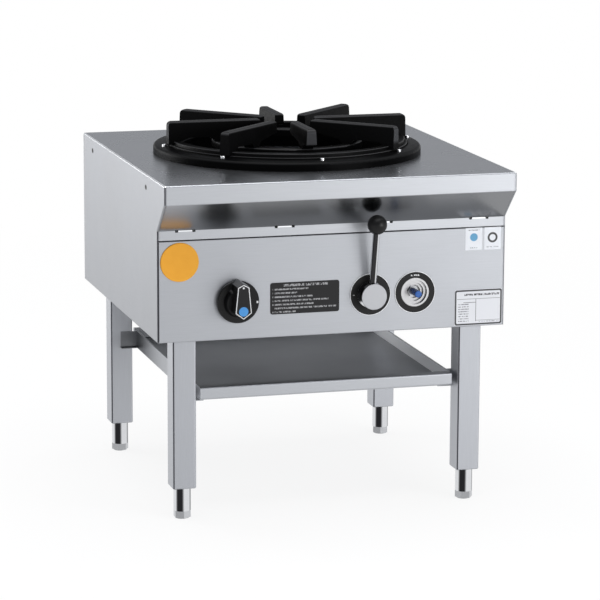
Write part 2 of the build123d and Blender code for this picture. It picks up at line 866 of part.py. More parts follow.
def trivet_fin(reach, is_short):
    """One drafted fin: flat pot rest, rounded outer corner, arch between the rings, lean tip."""
    foot_radius = trivet_ring_inner_radius + fin_ring_overlap
    hub_middle = (hub_ring_inner_radius + hub_ring_outer_radius) / 2
    outline = [
        (fin_inner_radius, trivet_height, fin_inner_round),
        (reach, trivet_height, fin_end_round),
    ]
    if is_short:
        outline.append((reach, fin_arch_height, fin_corner_round))
    else:
        outline.append((reach, fin_outer_foot))
        outline.append((foot_radius, fin_outer_foot))
        outline.append((foot_radius, fin_arch_height - fin_haunch_rise))
        outline.append((foot_radius - fin_haunch_run, fin_arch_height))
    outline.append((hub_ring_outer_radius + fin_web_run, fin_arch_height))
    outline.append((hub_ring_outer_radius - fin_hub_inset, hub_ring_top - fin_hub_drop))
    outline.append((hub_middle, hub_ring_bottom + fin_hub_drop))
    outline.append((hub_ring_inner_radius + fin_hub_inset, hub_ring_top - fin_hub_drop))
    outline.append((hub_ring_inner_radius - fin_haunch_run, fin_arch_height))
    outline.append((fin_inner_radius, fin_tip_height, fin_tip_round))
    side = extrude(Plane.XZ * rounded_outline(outline), fin_top_width, both=True)
    rise = trivet_height - hub_ring_bottom
    foot_half = fin_top_width / 2 + rise * sin(radians(fin_draft_angle))
    top_half = fin_top_width / 2
    section = rounded_outline(
        [
            (-foot_half, hub_ring_bottom),
            (foot_half, hub_ring_bottom),
            (top_half, trivet_height, fin_edge_round),
            (-top_half, trivet_height, fin_edge_round),
        ]
    )
    return side & extrude(Plane.YZ * section, fin_reach + cut_margin)


def trivet():
    """The cast trivet: an outer ring in the recess, a hub ring and eight fins."""
    outer_ring = rounded_outline(
        [
            (trivet_ring_inner_radius, ring_recess_height),
            (trivet_outer_radius, ring_recess_height),
            (trivet_outer_radius, trivet_step_height, trivet_step_round),
            (trivet_step_radius, trivet_step_height),
            (trivet_step_radius, trivet_ring_height, trivet_edge_round),
            (trivet_ring_inner_radius, trivet_ring_height, trivet_edge_round),
        ]
    )
    hub_ring = rounded_outline(
        [
            (hub_ring_inner_radius, hub_ring_bottom),
            (hub_ring_outer_radius, hub_ring_bottom),
            (hub_ring_outer_radius, hub_ring_top, hub_ring_round),
            (hub_ring_inner_radius, hub_ring_top, hub_ring_round),
        ]
    )
    casting = turned_on_burner(outer_ring, hob_height) + turned_on_burner(hub_ring, hob_height)
    long_fin = trivet_fin(fin_reach, is_short=False)
    short_fin = trivet_fin(short_fin_reach, is_short=True)
    for index in range(fin_count):
        angle = index * 360 / fin_count
        fin = short_fin if angle in short_fin_angles else long_fin
        casting += Location((burner_x, burner_y, hob_height)) * (Rotation(0, 0, angle) * fin)
    return casting


# ---------------------------------------------------------------- burner
def pilot_place(along):
    """A point on the pilot lug, a distance along the tangent from its middle."""
    angle = radians(pilot_angle)
    x = burner_x + pilot_circle * cos(angle) - along * sin(angle)
    y = burner_y + pilot_circle * sin(angle) + along * cos(angle)
    return x, y


def burner_body():
    """The cast burner bowl on its stem, with a side boss for the mixing tube and a pilot lug."""
    rim = burner_rim_z
    bowl_foot = rim - burner_bowl_height
    stem_top = bowl_foot - burner_bowl_slope
    outer = make_face(
        Polyline(
            (0, burner_base_z),
            (burner_base_radius, burner_base_z),
            (burner_base_radius, burner_base_z + burner_wall),
            (burner_stem_radius, burner_base_z + burner_wall),
            (burner_stem_radius, stem_top),
            (burner_radius, bowl_foot),
            (burner_radius, rim),
            (0, rim),
            close=True,
        )
    )
    bore_radius = burner_stem_radius - burner_wall
    cavity = make_face(
        Polyline(
            (0, burner_base_z + burner_floor),
            (bore_radius, burner_base_z + burner_floor),
            (bore_radius, stem_top + burner_wall / 2),
            (burner_radius - burner_wall, bowl_foot + burner_wall / 2),
            (burner_radius - burner_wall, rim),
            (0, rim),
            close=True,
        )
    )
    casting = turned_on_burner(outer, 0)
    casting += bar_along_y(burner_x, mixing_height, mixing_flange_radius, mixing_flange_y, burner_y)
    casting -= turned_on_burner(cavity, 0)
    casting -= bar_along_y(burner_x, mixing_height, mixing_bore_radius, mixing_flange_y, burner_y)
    lug_start = burner_radius - burner_wall / 2
    lug_length = pilot_circle + pilot_lug_overhang - lug_start
    lug_z = rim - pilot_lug_drop + pilot_lug_thickness / 2
    lug = Box(lug_length, pilot_lug_width, pilot_lug_thickness)
    turn = Location((burner_x, burner_y, lug_z)) * Rotation(0, 0, pilot_angle)
    casting += turn * Location((lug_start + lug_length / 2, 0, 0)) * lug
    hole_range = (rim - burner_bowl_height, rim)
    holes = (
        (0, pilot_burner_radius),
        (-pilot_spacing, thermocouple_radius),
        (pilot_spacing, electrode_radius),
    )
    for along, radius in holes:
        x, y = pilot_place(along)
        casting -= bar_along_z(x, y, radius + running_gap, *hole_range)
    return casting


def burner_head():
    """The cap on the bowl: a shallow cone with a ring of radial ports and a locating spigot."""
    spigot_radius = burner_radius - burner_wall - 2 * sheet_clearance
    cavity_radius = spigot_radius - burner_wall
    section = make_face(
        Polyline(
            (0, burner_head_rise - burner_wall),
            (0, burner_head_rise),
            (burner_head_crown_radius, burner_head_rise),
            (burner_radius, burner_head_edge_height),
            (burner_radius, 0),
            (spigot_radius, 0),
            (spigot_radius, -burner_spigot_depth),
            (cavity_radius, -burner_spigot_depth),
            (cavity_radius, burner_head_cavity_height),
            (burner_head_crown_radius - burner_head_crown_inset, burner_head_rise - burner_wall),
            close=True,
        )
    )
    cap = turned_on_burner(section, burner_rim_z)
    port = Box(burner_port_length, burner_port_width, 2 * burner_head_rise)
    middle = Location((burner_x, burner_y, burner_rim_z + burner_head_rise / 2))
    for index in range(burner_port_count):
        turn = Rotation(0, 0, (index + 0.5) * 360 / burner_port_count)
        cap -= middle * turn * Location((burner_port_circle, 0, 0)) * port
    return cap


def mixing_tube():
    """The cast mixing tube: a bolting flange, a straight throat and a bell mouth."""
    plane = Plane(origin=(burner_x, mixing_flange_y, mixing_height), x_dir=(1, 0, 0), z_dir=(0, 0, -1))
    bore = mixing_bore_radius
    outer = bore + mixing_wall
    length = mixing_flange_y - mixing_mouth_y
    bell_start = length - mixing_bell_lip
    throat_end = bell_start - mixing_bell_length
    bell_bore = mixing_bell_radius - mixing_bell_wall
    section = make_face(
        Polyline(
            (bore, 0),
            (mixing_flange_radius, 0),
            (mixing_flange_radius, mixing_flange_thickness),
            (outer, mixing_flange_thickness),
            (outer, throat_end),
            (mixing_bell_radius, bell_start),
            (mixing_bell_radius, length),
            (bell_bore, length),
            (bell_bore, bell_start),
            (bore, throat_end),
            close=True,
        )
    )
    return revolve(plane * section, Axis((burner_x, 0, mixing_height), (0, 1, 0)))


def burner_stand():
    """A folded stand on the base pan under the burner, with an arm that holds the injector."""
    top = burner_base_z
    under = top - stand_thickness
    half = stand_width / 2
    y_range = (burner_y - half, burner_y + half)
    outer = stand_leg_offset
    stand = block((burner_x - outer, burner_x + outer), y_range, (under, top))
    for side in (-1, 1):
        leg_x_range = sorted((side * outer, side * (outer - stand_thickness)))
        foot_x_range = sorted((side * outer, side * (outer + stand_foot_length)))
        leg_x_range = [burner_x + value for value in leg_x_range]
        foot_x_range = [burner_x + value for value in foot_x_range]
        stand += block(leg_x_range, y_range, (pan_top, top))
        stand += block(foot_x_range, y_range, (pan_top, pan_top + stand_thickness))
    upright_y = injector_front_y
    arm_x = (burner_x - stand_arm_width / 2, burner_x + stand_arm_width / 2)
    stand += block(arm_x, (upright_y - stand_thickness, burner_y - half), (under, top))
    stand += block(arm_x, (upright_y - stand_thickness, upright_y), (under, top + stand_upright_height))
    hole_radius = injector_stub_radius + screw_clearance
    stand -= bar_along_y(
        burner_x, mixing_height, hole_radius, upright_y - stand_thickness, upright_y
    )
    return stand


def injector():
    """The brass injector: a block fed from its side, a drilled spud and a stub in the stand."""
    half = injector_block / 2
    x_range = (burner_x - half, burner_x + half)
    z_range = (mixing_height - half, mixing_height + half)
    body = block(x_range, (injector_front_y, injector_rear_y), z_range)
    body += bar_along_y(burner_x, mixing_height, injector_spud_radius, injector_rear_y, spud_end_y)
    stub_y = injector_front_y - injector_stub_length
    body += bar_along_y(burner_x, mixing_height, injector_stub_radius, stub_y, injector_front_y)
    return body - bar_along_y(burner_x, mixing_height, injector_bore_radius, injector_y, spud_end_y)


def air_shutter():
    """The round shutter that screws along the injector's spud to set the air."""
    y_end = mixing_mouth_y - shutter_gap
    disc = bar_along_y(burner_x, mixing_height, shutter_radius, y_end - shutter_thickness, y_end)
    bore_radius = injector_spud_radius + shutter_running_gap
    disc -= bar_along_y(burner_x, mixing_height, bore_radius, y_end - shutter_thickness, y_end)
    return disc


# ---------------------------------------------------------------- gas train
def gas_manifold():
    """The main pipe: from the inlet forward along the right side, then left behind the taps."""
    inlet_start = back_panel_y - inlet_tail - inlet_hex_length
    points = [
        (manifold_left, manifold_y, manifold_height),
        (manifold_right, manifold_y, manifold_height),
        (manifold_right, inlet_start, manifold_height),
    ]
    pipe = bent_rod(points, manifold_bend, manifold_radius)
    short = [
        (manifold_left + manifold_end_wall, manifold_y, manifold_height),
        (manifold_right, manifold_y, manifold_height),
        (manifold_right, inlet_start, manifold_height),
    ]
    return pipe - bent_rod(short, manifold_bend, manifold_bore_radius)


def gas_inlet():
    """The inlet nipple: a hexagon inside the back panel, a neck through it and a thread outside."""
    start = back_panel_y - inlet_tail - inlet_hex_length
    plane = Plane(
        origin=(manifold_right, start, manifold_height), x_dir=(1, 0, 0), z_dir=(0, 1, 0)
    )
    body = extrude(plane * RegularPolygon(inlet_hex_flats / sqrt(3), 6), inlet_hex_length)
    neck_start = start + inlet_hex_length
    end = rear_y - inlet_rear_gap
    thread_start = end - inlet_thread_length
    body += bar_along_y(manifold_right, manifold_height, inlet_neck_radius, neck_start, thread_start)
    body += bar_along_y(manifold_right, manifold_height, inlet_radius, thread_start, end)
    return body - bar_along_y(manifold_right, manifold_height, manifold_bore_radius, start, end)


def manifold_saddle(x):
    """A boss from a tap down onto the manifold, cut to the pipe's round."""
    boss = bar_along_z(x, manifold_y, saddle_radius, manifold_height, control_height)
    start = x - saddle_radius
    end = x + saddle_radius
    return boss - bar_along_x(manifold_y, manifold_height, manifold_radius + screw_clearance, start, end)


def tap_body():
    """The pilot tap behind the knob, on the manifold, with a neck through the front panel."""
    front = panel_back_y + sheet_clearance
    rear = front + tap_length
    outer = bar_along_y(knob_x, control_height, tap_radius, front, rear)
    outer += bar_along_y(knob_x, control_height, tap_neck_radius, outward(tap_neck_reach), front)
    outer += manifold_saddle(knob_x)
    plug_front = rear - tap_plug_length - 2 * tap_end_gap
    outer -= bar_along_y(
        knob_x, control_height, tap_plug_radius + running_gap, plug_front, rear
    )
    spindle_bore = knob_spindle_radius + running_gap
    outer -= bar_along_y(
        knob_x, control_height, spindle_bore, outward(tap_neck_reach), plug_front
    )
    return outer


def tap_plug():
    """The plug that the knob turns inside the tap, bored for the sliding spindle."""
    rear = panel_back_y + sheet_clearance + tap_length
    end = rear - tap_end_gap
    start = end - tap_plug_length
    plug = bar_along_y(knob_x, control_height, tap_plug_radius, start, end)
    bore = knob_spindle_radius + running_gap
    return plug - bar_along_y(knob_x, control_height, bore, start, end)


def knob_spindle():
    """The spindle between the plug and the knob."""
    return bar_along_y(
        knob_x,
        control_height,
        knob_spindle_radius,
        outward(knob_spindle_reach),
        panel_back_y + knob_spindle_tail,
    )


def grip_outline(inset):
    """The long six-sided face of the knob's grip, seen from the front."""
    shoulder_x, shoulder_z = knob_grip_shoulder
    heel_x, heel_z = knob_grip_heel
    outline = make_face(
        Polyline(
            (0, knob_grip_top),
            (shoulder_x, shoulder_z),
            (heel_x, heel_z),
            (0, knob_grip_bottom),
            (-heel_x, heel_z),
            (-shoulder_x, shoulder_z),
            close=True,
        )
    )
    if inset:
        return offset(outline, -inset, kind=Kind.INTERSECTION)
    return outline


def knob_face_plane(distance):
    """A plane across the knob's axis, facing back towards the panel, with Z upwards."""
    return Plane(
        origin=(knob_x, outward(distance), control_height), x_dir=(-1, 0, 0), z_dir=(0, 1, 0)
    )


def gas_knob():
    """The knob: a round skirt, a low hub and a tall six-sided grip that points to its dot."""
    skirt = turned_on_panel(
        knob_x,
        [
            (0, knob_panel_gap),
            (knob_skirt_radius, knob_panel_gap),
            (knob_skirt_radius, knob_skirt_front - knob_skirt_edge),
            (knob_skirt_radius - knob_skirt_edge, knob_skirt_front),
            (knob_hub_radius, knob_skirt_front),
            (knob_hub_top_radius, knob_hub_front),
            (0, knob_hub_front),
        ],
    )
    grip_depth = knob_grip_front - knob_panel_gap
    grip = extrude(knob_face_plane(knob_grip_front) * grip_outline(0), grip_depth, taper=-knob_grip_draft)
    grip = fillet(grip.faces().sort_by(Axis.Y)[0].edges(), knob_grip_round)
    knob = skirt + grip
    cavity_end = knob_panel_gap + knob_cavity_depth
    cavity = bar_along_y(
        knob_x, control_height, knob_cavity_radius, outward(cavity_end), outward(knob_panel_gap)
    )
    boss_back = tap_neck_reach + knob_travel + 2 * knob_boss_gap
    boss = bar_along_y(
        knob_x, control_height, knob_boss_radius, outward(cavity_end), outward(boss_back)
    )
    knob -= cavity - boss
    return knob - bar_along_y(
        knob_x,
        control_height,
        knob_spindle_radius + screw_clearance,
        outward(knob_spindle_reach),
        outward(knob_panel_gap),
    )


def knob_plate():
    """The thin pointer plate on the front of the grip."""
    plane = knob_face_plane(knob_grip_front + knob_plate_thickness)
    return extrude(plane * grip_outline(knob_plate_inset), knob_plate_thickness)


# ---------------------------------------------------------------- lever and its valve
def lever_valve_body():
    """The quarter-turn valve behind the lever, on the manifold, with a neck through the panel."""
    front = panel_back_y + sheet_clearance
    rear = front + valve_length
    body = bar_along_y(lever_x, control_height, valve_radius, front, rear)
    body += bar_along_y(
        lever_x, control_height, valve_neck_radius, outward(valve_neck_reach), front
    )
    body += manifold_saddle(lever_x)
    drum_front = front + valve_drum_setback
    body -= bar_along_y(
        lever_x, control_height, valve_drum_radius + running_gap, drum_front - running_gap, rear
    )
    return body - bar_along_y(
        lever_x,
        control_height,
        lever_spindle_radius + running_gap,
        outward(valve_neck_reach),
        drum_front,
    )


def lever_spindle():
    """The valve's drum and the spindle that carries the lever's hub, turned in one piece."""
    drum_front = panel_back_y + sheet_clearance + valve_drum_setback
    spindle = bar_along_y(
        lever_x, control_height, lever_spindle_radius, outward(lever_spindle_reach), drum_front
    )
    return spindle + bar_along_y(
        lever_x, control_height, valve_drum_radius, drum_front, drum_front + valve_drum_length
    )


def rod_between(start_rise, end_rise, radius):
    """A bar along the lever rod's axis between two heights above the control axis."""
    start = lever_ball_centre - lever_direction * ((lever_ball_rise - start_rise) / cos(lever_lean))
    length = (end_rise - start_rise) / cos(lever_lean)
    plane = Plane(origin=start, x_dir=(1, 0, 0), z_dir=lever_direction)
    return extrude(plane * Circle(radius), length)


def lever_hub():
    """The black hub on the spindle, cross-drilled for the rod."""
    hub = bar_along_y(
        lever_x, control_height, lever_hub_radius, outward(lever_hub_front), outward(lever_hub_back)
    )
    hub -= bar_along_y(
        lever_x,
        control_height,
        lever_spindle_radius + running_gap,
        outward(lever_spindle_reach),
        outward(lever_hub_back),
    )
    bore_end = lever_hub_radius + lever_rod_radius + cut_margin
    return hub - rod_between(lever_rod_root, bore_end, lever_rod_radius + running_gap)


def lever_rod():
    """The round rod from the hub up to the ball."""
    return rod_between(lever_rod_root, lever_ball_rise - lever_ball_socket, lever_rod_radius)


def lever_ball():
    """The black ball on the end of the rod."""
    ball = Location(lever_ball_centre) * Sphere(lever_ball_radius)
    socket_start = lever_ball_rise - lever_ball_radius - cut_margin
    socket_end = lever_ball_rise - lever_ball_socket
    return ball - rod_between(socket_start, socket_end, lever_rod_radius + running_gap)


def lever_cap():
    """The brushed disc on the front of the hub."""
    disc = bar_along_y(
        lever_x,
        control_height,
        lever_cap_radius,
        outward(lever_hub_front + lever_cap_thickness),
        outward(lever_hub_front),
    )
    return fillet(disc.faces().sort_by(Axis.Y)[0].edges(), lever_cap_round)


def lever_collar():
    """The plated collar nut on the valve's neck, in front of the panel."""
    bore = valve_neck_radius + running_gap
    return turned_on_panel(
        lever_x,
        [
            (bore, 0),
            (lever_collar_radius, 0),
            (lever_collar_radius, bezel_thickness),
            (lever_collar_top_radius, lever_collar_height),
            (bore, lever_collar_height),
        ],
    )


def bezel(x, bore):
    """A flat round control plate on the front panel."""
    return turned_on_panel(
        x, [(bore, 0), (bezel_radius, 0), (bezel_radius, bezel_thickness), (bore, bezel_thickness)]
    )


# ---------------------------------------------------------------- ignition button
def button_cup():
    """The stepped pressing that lets the button lie partly behind the panel."""
    bore = button_radius + button_cup_gap
    front = [(cup_flange_radius, 0), (cup_flange_radius, cup_sheet)]
    previous_depth = -cup_sheet
    for radius, depth in cup_steps:
        front.append((radius, -previous_depth))
        front.append((radius, -depth))
        previous_depth = depth
    back = []
    previous_depth = 0.0
    for radius, depth in cup_steps:
        back.append((radius + cup_sheet, -previous_depth))
        back.append((radius + cup_sheet, -depth - cup_sheet))
        previous_depth = depth + cup_sheet
    floor_depth = cup_steps[-1][1]
    rim = [(bore, -floor_depth), (bore, -floor_depth - cup_sheet)]
    return turned_on_panel(button_x, front + rim + back[::-1])


def button_nut():
    """The flat nut around the button at the bottom of the cup."""
    floor_depth = cup_steps[-1][1]
    plane = Plane(
        origin=(button_x, outward(-floor_depth + button_nut_height), control_height),
        x_dir=(1, 0, 0),
        z_dir=(0, 1, 0),
    )
    nut = extrude(plane * RegularPolygon(button_nut_flats / sqrt(3), 6), button_nut_height)
    bore = button_radius + button_cup_gap
    return nut - bar_along_y(
        button_x,
        control_height,
        bore,
        outward(-floor_depth + button_nut_height),
        outward(-floor_depth),
    )


def push_button():
    """The round plunger of the igniter."""
    plunger = bar_along_y(
        button_x, control_height, button_radius, outward(button_reach), outward(-button_tail)
    )
    return fillet(plunger.faces().sort_by(Axis.Y)[0].edges(), button_round)


def igniter_body():
    """The spark generator behind the cup, bored for the plunger."""
    start = outward(-cup_steps[-1][1] - cup_sheet)
    body = bar_along_y(button_x, control_height, igniter_radius, start, start + igniter_length)
    bore_end = outward(-button_tail - button_travel - igniter_end_gap)
    bore = button_radius + button_running_gap
    return body - bar_along_y(button_x, control_height, bore, start, bore_end)


# ---------------------------------------------------------------- pipes and leads
def main_feed_pipe():
    """The pipe from the lever valve up and across to the injector's side."""
    points = [
        (lever_x, manifold_y, control_height + valve_radius),
        (lever_x, manifold_y, mixing_height),
        (lever_x, injector_y, mixing_height),
        (burner_x + injector_block / 2, injector_y, mixing_height),
    ]
    return bent_rod(points, feed_pipe_bend, feed_pipe_radius)


def pilot_pipe():
    """The small pipe from the tap to the foot of the pilot burner."""
    x, y = pilot_place(0)
    run_height = control_height + pilot_pipe_rise
    points = [
        (knob_x, manifold_y, control_height + tap_radius),
        (knob_x, manifold_y, run_height),
        (knob_x, y, run_height),
        (x, y, run_height),
        (x, y, pilot_burner_bottom),
    ]
    return bent_rod(points, pilot_pipe_bend, pilot_pipe_radius)


def pilot_burner():
    """The pilot: a drilled brass jet that stands in the burner's lug."""
    x, y = pilot_place(0)
    jet = bar_along_z(x, y, pilot_burner_radius, pilot_burner_bottom, pilot_burner_top)
    bore_start = pilot_burner_top - pilot_bore_depth
    return jet - bar_along_z(x, y, pilot_burner_radius / 2, bore_start, pilot_burner_top)


def thermocouple():
    """The flame sensor and its capillary lead back to the tap."""
    x, y = pilot_place(-pilot_spacing)
    probe = bar_along_z(x, y, thermocouple_radius, sensor_bottom, burner_rim_z + thermocouple_rise)
    side_x = knob_x - tap_radius
    points = [
        (side_x, manifold_y, control_height),
        (side_x - capillary_run, manifold_y, control_height),
        (side_x - capillary_run, y, control_height),
        (x, y, control_height),
        (x, y, sensor_bottom),
    ]
    return probe + bent_rod(points, lead_bend, capillary_radius)


def ignition_electrode():
    """The spark electrode: a ceramic sleeve with a pin that stands beside the pilot."""
    x, y = pilot_place(pilot_spacing)
    sleeve_top = burner_rim_z - electrode_sleeve_drop
    sleeve = bar_along_z(x, y, electrode_radius, sensor_bottom, sleeve_top)
    pin_top = burner_rim_z + electrode_pin_rise
    return sleeve + bar_along_z(x, y, electrode_pin_radius, sleeve_top, pin_top)


def igniter_lead():
    """The insulated lead from the spark generator to the electrode."""
    x, y = pilot_place(pilot_spacing)
    start_y = outward(-cup_steps[-1][1] - cup_sheet) + igniter_length
    run_y = start_y + lead_run
    run_z = control_height - lead_drop
    points = [
        (button_x, start_y, control_height),
        (button_x, run_y, control_height),
        (button_x, run_y, run_z),
        (x, run_y, run_z),
        (x, y, run_z),
        (x, y, sensor_bottom),
    ]
    return bent_rod(points, lead_bend, lead_radius)


# ---------------------------------------------------------------- plates and stickers
def raised_on_panel(outline, x, rise, thickness):
    """A flat outline on the front panel, its centre a distance over the controls' axis."""
    plane = Plane(origin=(x, panel_y, control_height + rise), x_dir=(1, 0, 0), z_dir=(0, -1, 0))
    return extrude(plane * outline, thickness)


def instruction_plate():
    """The plate between the knob and the lever."""
    outline = RectangleRounded(*instruction_plate_size, instruction_plate_round)
    return raised_on_panel(outline, instruction_plate_x, instruction_plate_rise, plate_thickness)


def rating_plate():
    """The plate at the lower right of the panel."""
    outline = RectangleRounded(*rating_plate_size, rating_plate_round)
    x = half_width - rating_plate_edge_gap
    return raised_on_panel(outline, x, rating_plate_rise, film_thickness)


def pale_labels():
    """The two labels side by side at the upper right of the panel."""
    outline = RectangleRounded(*label_size, label_round)
    places = [half_width - gap for gap in label_edge_gaps]
    labels = [raised_on_panel(outline, x, label_rise, film_thickness) for x in places]
    return Compound(children=labels)


def orange_sticker():
    """The round domed sticker near the left end of the panel."""
    x = orange_sticker_edge_gap - half_width
    outline = Circle(orange_sticker_radius)
    dome = raised_on_panel(outline, x, orange_sticker_rise, orange_sticker_thickness)
    return fillet(dome.faces().sort_by(Axis.Y)[0].edges(), orange_sticker_edge_round)


# ---------------------------------------------------------------- write the pieces
os.makedirs("parts", exist_ok=True)

right_side, left_side = mirrored_pair(side_panel_right())
right_rail, left_rail = mirrored_pair(shelf_rail_right())
corner_places = list(leg_corners.values())

pieces = {
    "hob_top": hob_top(),
    "side_panel_left": left_side,
    "side_panel_right": right_side,
    "front_panel": front_panel(),
    "back_panel": back_panel(),
    "base_pan": base_pan(),
    "casing_screws": casing_screws(),
    "leg_end_plugs": Compound(children=[leg_end_plug(x, y) for x, y in corner_places]),
    "foot_sleeves": Compound(children=[foot_sleeve(x, y) for x, y in corner_places]),
    "leg_bolts": leg_bolts(),
    "shelf_tray": shelf_tray(),
    "shelf_rail_left": left_rail,
    "shelf_rail_right": right_rail,
    "burner_ring": burner_ring(),
    "ring_screws": ring_screws(),
    "trivet": trivet(),
    "burner_body": burner_body(),
    "burner_head": burner_head(),
    "mixing_tube": mixing_tube(),
    "burner_stand": burner_stand(),
    "injector": injector(),
    "air_shutter": air_shutter(),
    "gas_manifold": gas_manifold(),
    "gas_inlet": gas_inlet(),
    "tap_body": tap_body(),
    "tap_plug": tap_plug(),
    "knob_spindle": knob_spindle(),
    "gas_knob": gas_knob(),
    "knob_plate": knob_plate(),
    "lever_valve_body": lever_valve_body(),
    "lever_spindle": lever_spindle(),
    "lever_hub": lever_hub(),
    "lever_rod": lever_rod(),
    "lever_ball": lever_ball(),
    "lever_cap": lever_cap(),
    "lever_collar": lever_collar(),
    "lever_bezel": bezel(lever_x, lever_bezel_bore),
    "button_bezel": bezel(button_x, button_bezel_bore),
    "button_cup": button_cup(),
    "button_nut": button_nut(),
    "push_button": push_button(),
    "igniter_body": igniter_body(),
    "main_feed_pipe": main_feed_pipe(),
    "pilot_pipe": pilot_pipe(),
    "pilot_burner": pilot_burner(),
    "thermocouple": thermocouple(),
    "ignition_electrode": ignition_electrode(),
    "igniter_lead": igniter_lead(),
    "instruction_plate": instruction_plate(),
    "rating_plate": rating_plate(),
    "pale_labels": pale_labels(),
    "orange_sticker": orange_sticker(),
}
for corner, (x, y) in leg_corners.items():
    pieces[f"leg_{corner}"] = leg(x, y)
    pieces[f"foot_{corner}"] = foot(x, y, foot_turns[corner])

for name, part in pieces.items():
    save(name, part)
print(len(pieces), "nodes")
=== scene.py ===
import math
import bmesh
import bpy
from mathutils import Matrix, Vector


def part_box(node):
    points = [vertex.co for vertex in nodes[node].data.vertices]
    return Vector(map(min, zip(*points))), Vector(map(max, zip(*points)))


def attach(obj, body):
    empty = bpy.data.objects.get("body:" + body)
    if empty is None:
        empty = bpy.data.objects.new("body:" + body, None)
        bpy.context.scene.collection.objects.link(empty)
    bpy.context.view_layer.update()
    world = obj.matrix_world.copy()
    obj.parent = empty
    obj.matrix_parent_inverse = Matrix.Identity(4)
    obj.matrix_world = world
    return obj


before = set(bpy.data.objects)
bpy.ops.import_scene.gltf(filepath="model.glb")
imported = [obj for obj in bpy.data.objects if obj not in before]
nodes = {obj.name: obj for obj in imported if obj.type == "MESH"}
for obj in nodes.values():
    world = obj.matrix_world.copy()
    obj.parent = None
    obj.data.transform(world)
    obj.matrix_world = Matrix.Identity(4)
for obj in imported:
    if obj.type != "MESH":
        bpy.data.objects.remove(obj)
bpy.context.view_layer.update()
scene = bpy.context.scene
scene.view_settings.view_transform = "Standard"

# ------------------------------------------------------------------ camera, floor and light
# The range stands on a wide white floor with a low white rim, in a plain grey studio. The camera
# looks down at it from the front left, through a long lens, as in the photograph.
quarter_turn = math.pi / 2
camera_place = Vector((-1.3771, -4.8791, 1.3329))
camera_turn = 0.278368
camera_tilt = -0.198061
camera_roll = 0.00447
camera_data = bpy.data.cameras.new("camera")
camera_data.sensor_width = 36.0
camera_data.lens = 177.80
camera_data.clip_end = 60.0
camera = bpy.data.objects.new("camera", camera_data)
camera.matrix_world = (
    Matrix.Translation(camera_place)
    @ Matrix.Rotation(-camera_turn, 4, "Z")
    @ Matrix.Rotation(quarter_turn + camera_tilt, 4, "X")
    @ Matrix.Rotation(camera_roll, 4, "Z")
)
scene.collection.objects.link(camera)
scene.camera = camera


def start_finish(name, roughness, metallic=0.0, gloss=0.5):
    """A new material. Returns it with its node tree and its Principled shader."""
    material = bpy.data.materials.new(name)
    material.use_nodes = True
    shader = material.node_tree.nodes["Principled BSDF"]
    shader.inputs["Roughness"].default_value = roughness
    shader.inputs["Metallic"].default_value = metallic
    shader.inputs["Specular IOR Level"].default_value = gloss
    return material, material.node_tree, shader


def feed(tree, socket, value):
    """Feeds a socket with another node's output, or with a plain value."""
    if isinstance(value, bpy.types.NodeSocket):
        tree.links.new(value, socket)
    else:
        socket.default_value = value


def number(tree, operation, *values):
    """A Math node on up to three values. Returns its output."""
    node = tree.nodes.new("ShaderNodeMath")
    node.operation = operation
    for socket, value in zip(node.inputs, values):
        feed(tree, socket, value)
    return node.outputs[0]


def vector(tree, operation, *values):
    """A Vector Math node on one or two vectors. Returns its output."""
    node = tree.nodes.new("ShaderNodeVectorMath")
    node.operation = operation
    for socket, value in zip(node.inputs, values):
        feed(tree, socket, value)
    return node.outputs["Value" if operation in ("LENGTH", "DOT_PRODUCT") else "Vector"]


def ramp(tree, value, start, full, low=0.0, high=1.0, smooth=False):
    """A Map Range node that goes from low at start to high at full. Returns its output."""
    node = tree.nodes.new("ShaderNodeMapRange")
    if smooth:
        node.interpolation_type = "SMOOTHSTEP"
    feed(tree, node.inputs["Value"], value)
    feed(tree, node.inputs["From Min"], start)
    feed(tree, node.inputs["From Max"], full)
    feed(tree, node.inputs["To Min"], low)
    feed(tree, node.inputs["To Max"], high)
    return node.outputs["Result"]


def place_on(tree):
    """The place of each point of the surface, in the piece's own frame."""
    return tree.nodes.new("ShaderNodeTexCoord").outputs["Object"]


def mesh_piece(name, bm, material):
    """Makes an object at the origin from a bmesh."""
    bmesh.ops.recalc_face_normals(bm, faces=bm.faces)
    mesh = bpy.data.meshes.new(name)
    bm.to_mesh(mesh)
    bm.free()
    piece = bpy.data.objects.new(name, mesh)
    mesh.materials.append(material)
    scene.collection.objects.link(piece)
    return piece


def new_points(made):
    """The points that an extrusion has made."""
    return [v for v in made["geom"] if isinstance(v, bmesh.types.BMVert)]


# The floor is seen as white, and a little greyer near the feet, where it keeps their shadow.
floor_reach = 20.0
floor_rim_height = 1.6
near_feet = 0.6
far_from_feet = 2.6
white_near_feet = 0.86
floor_material, floor_tree, floor_shader = start_finish("studio_floor", 0.9, gloss=0.0)
floor_shader.inputs["Base Color"].default_value = (0.90, 0.90, 0.90, 1.0)
floor_path = floor_tree.nodes.new("ShaderNodeLightPath")
floor_seen = number(
    floor_tree, "MAXIMUM", floor_path.outputs["Is Camera Ray"], floor_path.outputs["Is Glossy Ray"]
)
floor_seen = number(floor_tree, "MAXIMUM", floor_seen, floor_path.outputs["Is Transmission Ray"])
floor_distance = vector(floor_tree, "LENGTH", place_on(floor_tree))
floor_white = ramp(floor_tree, floor_distance, near_feet, far_from_feet, white_near_feet, 1.0)
floor_glow = floor_tree.nodes.new("ShaderNodeEmission")
floor_glow.inputs["Color"].default_value = (1.0, 1.0, 1.0, 1.0)
floor_glow.inputs["Strength"].default_value = 1.0
floor_mix = floor_tree.nodes.new("ShaderNodeMixShader")
floor_tree.links.new(number(floor_tree, "MULTIPLY", floor_seen, floor_white), floor_mix.inputs[0])
floor_tree.links.new(floor_shader.outputs[0], floor_mix.inputs[1])
floor_tree.links.new(floor_glow.outputs[0], floor_mix.inputs[2])
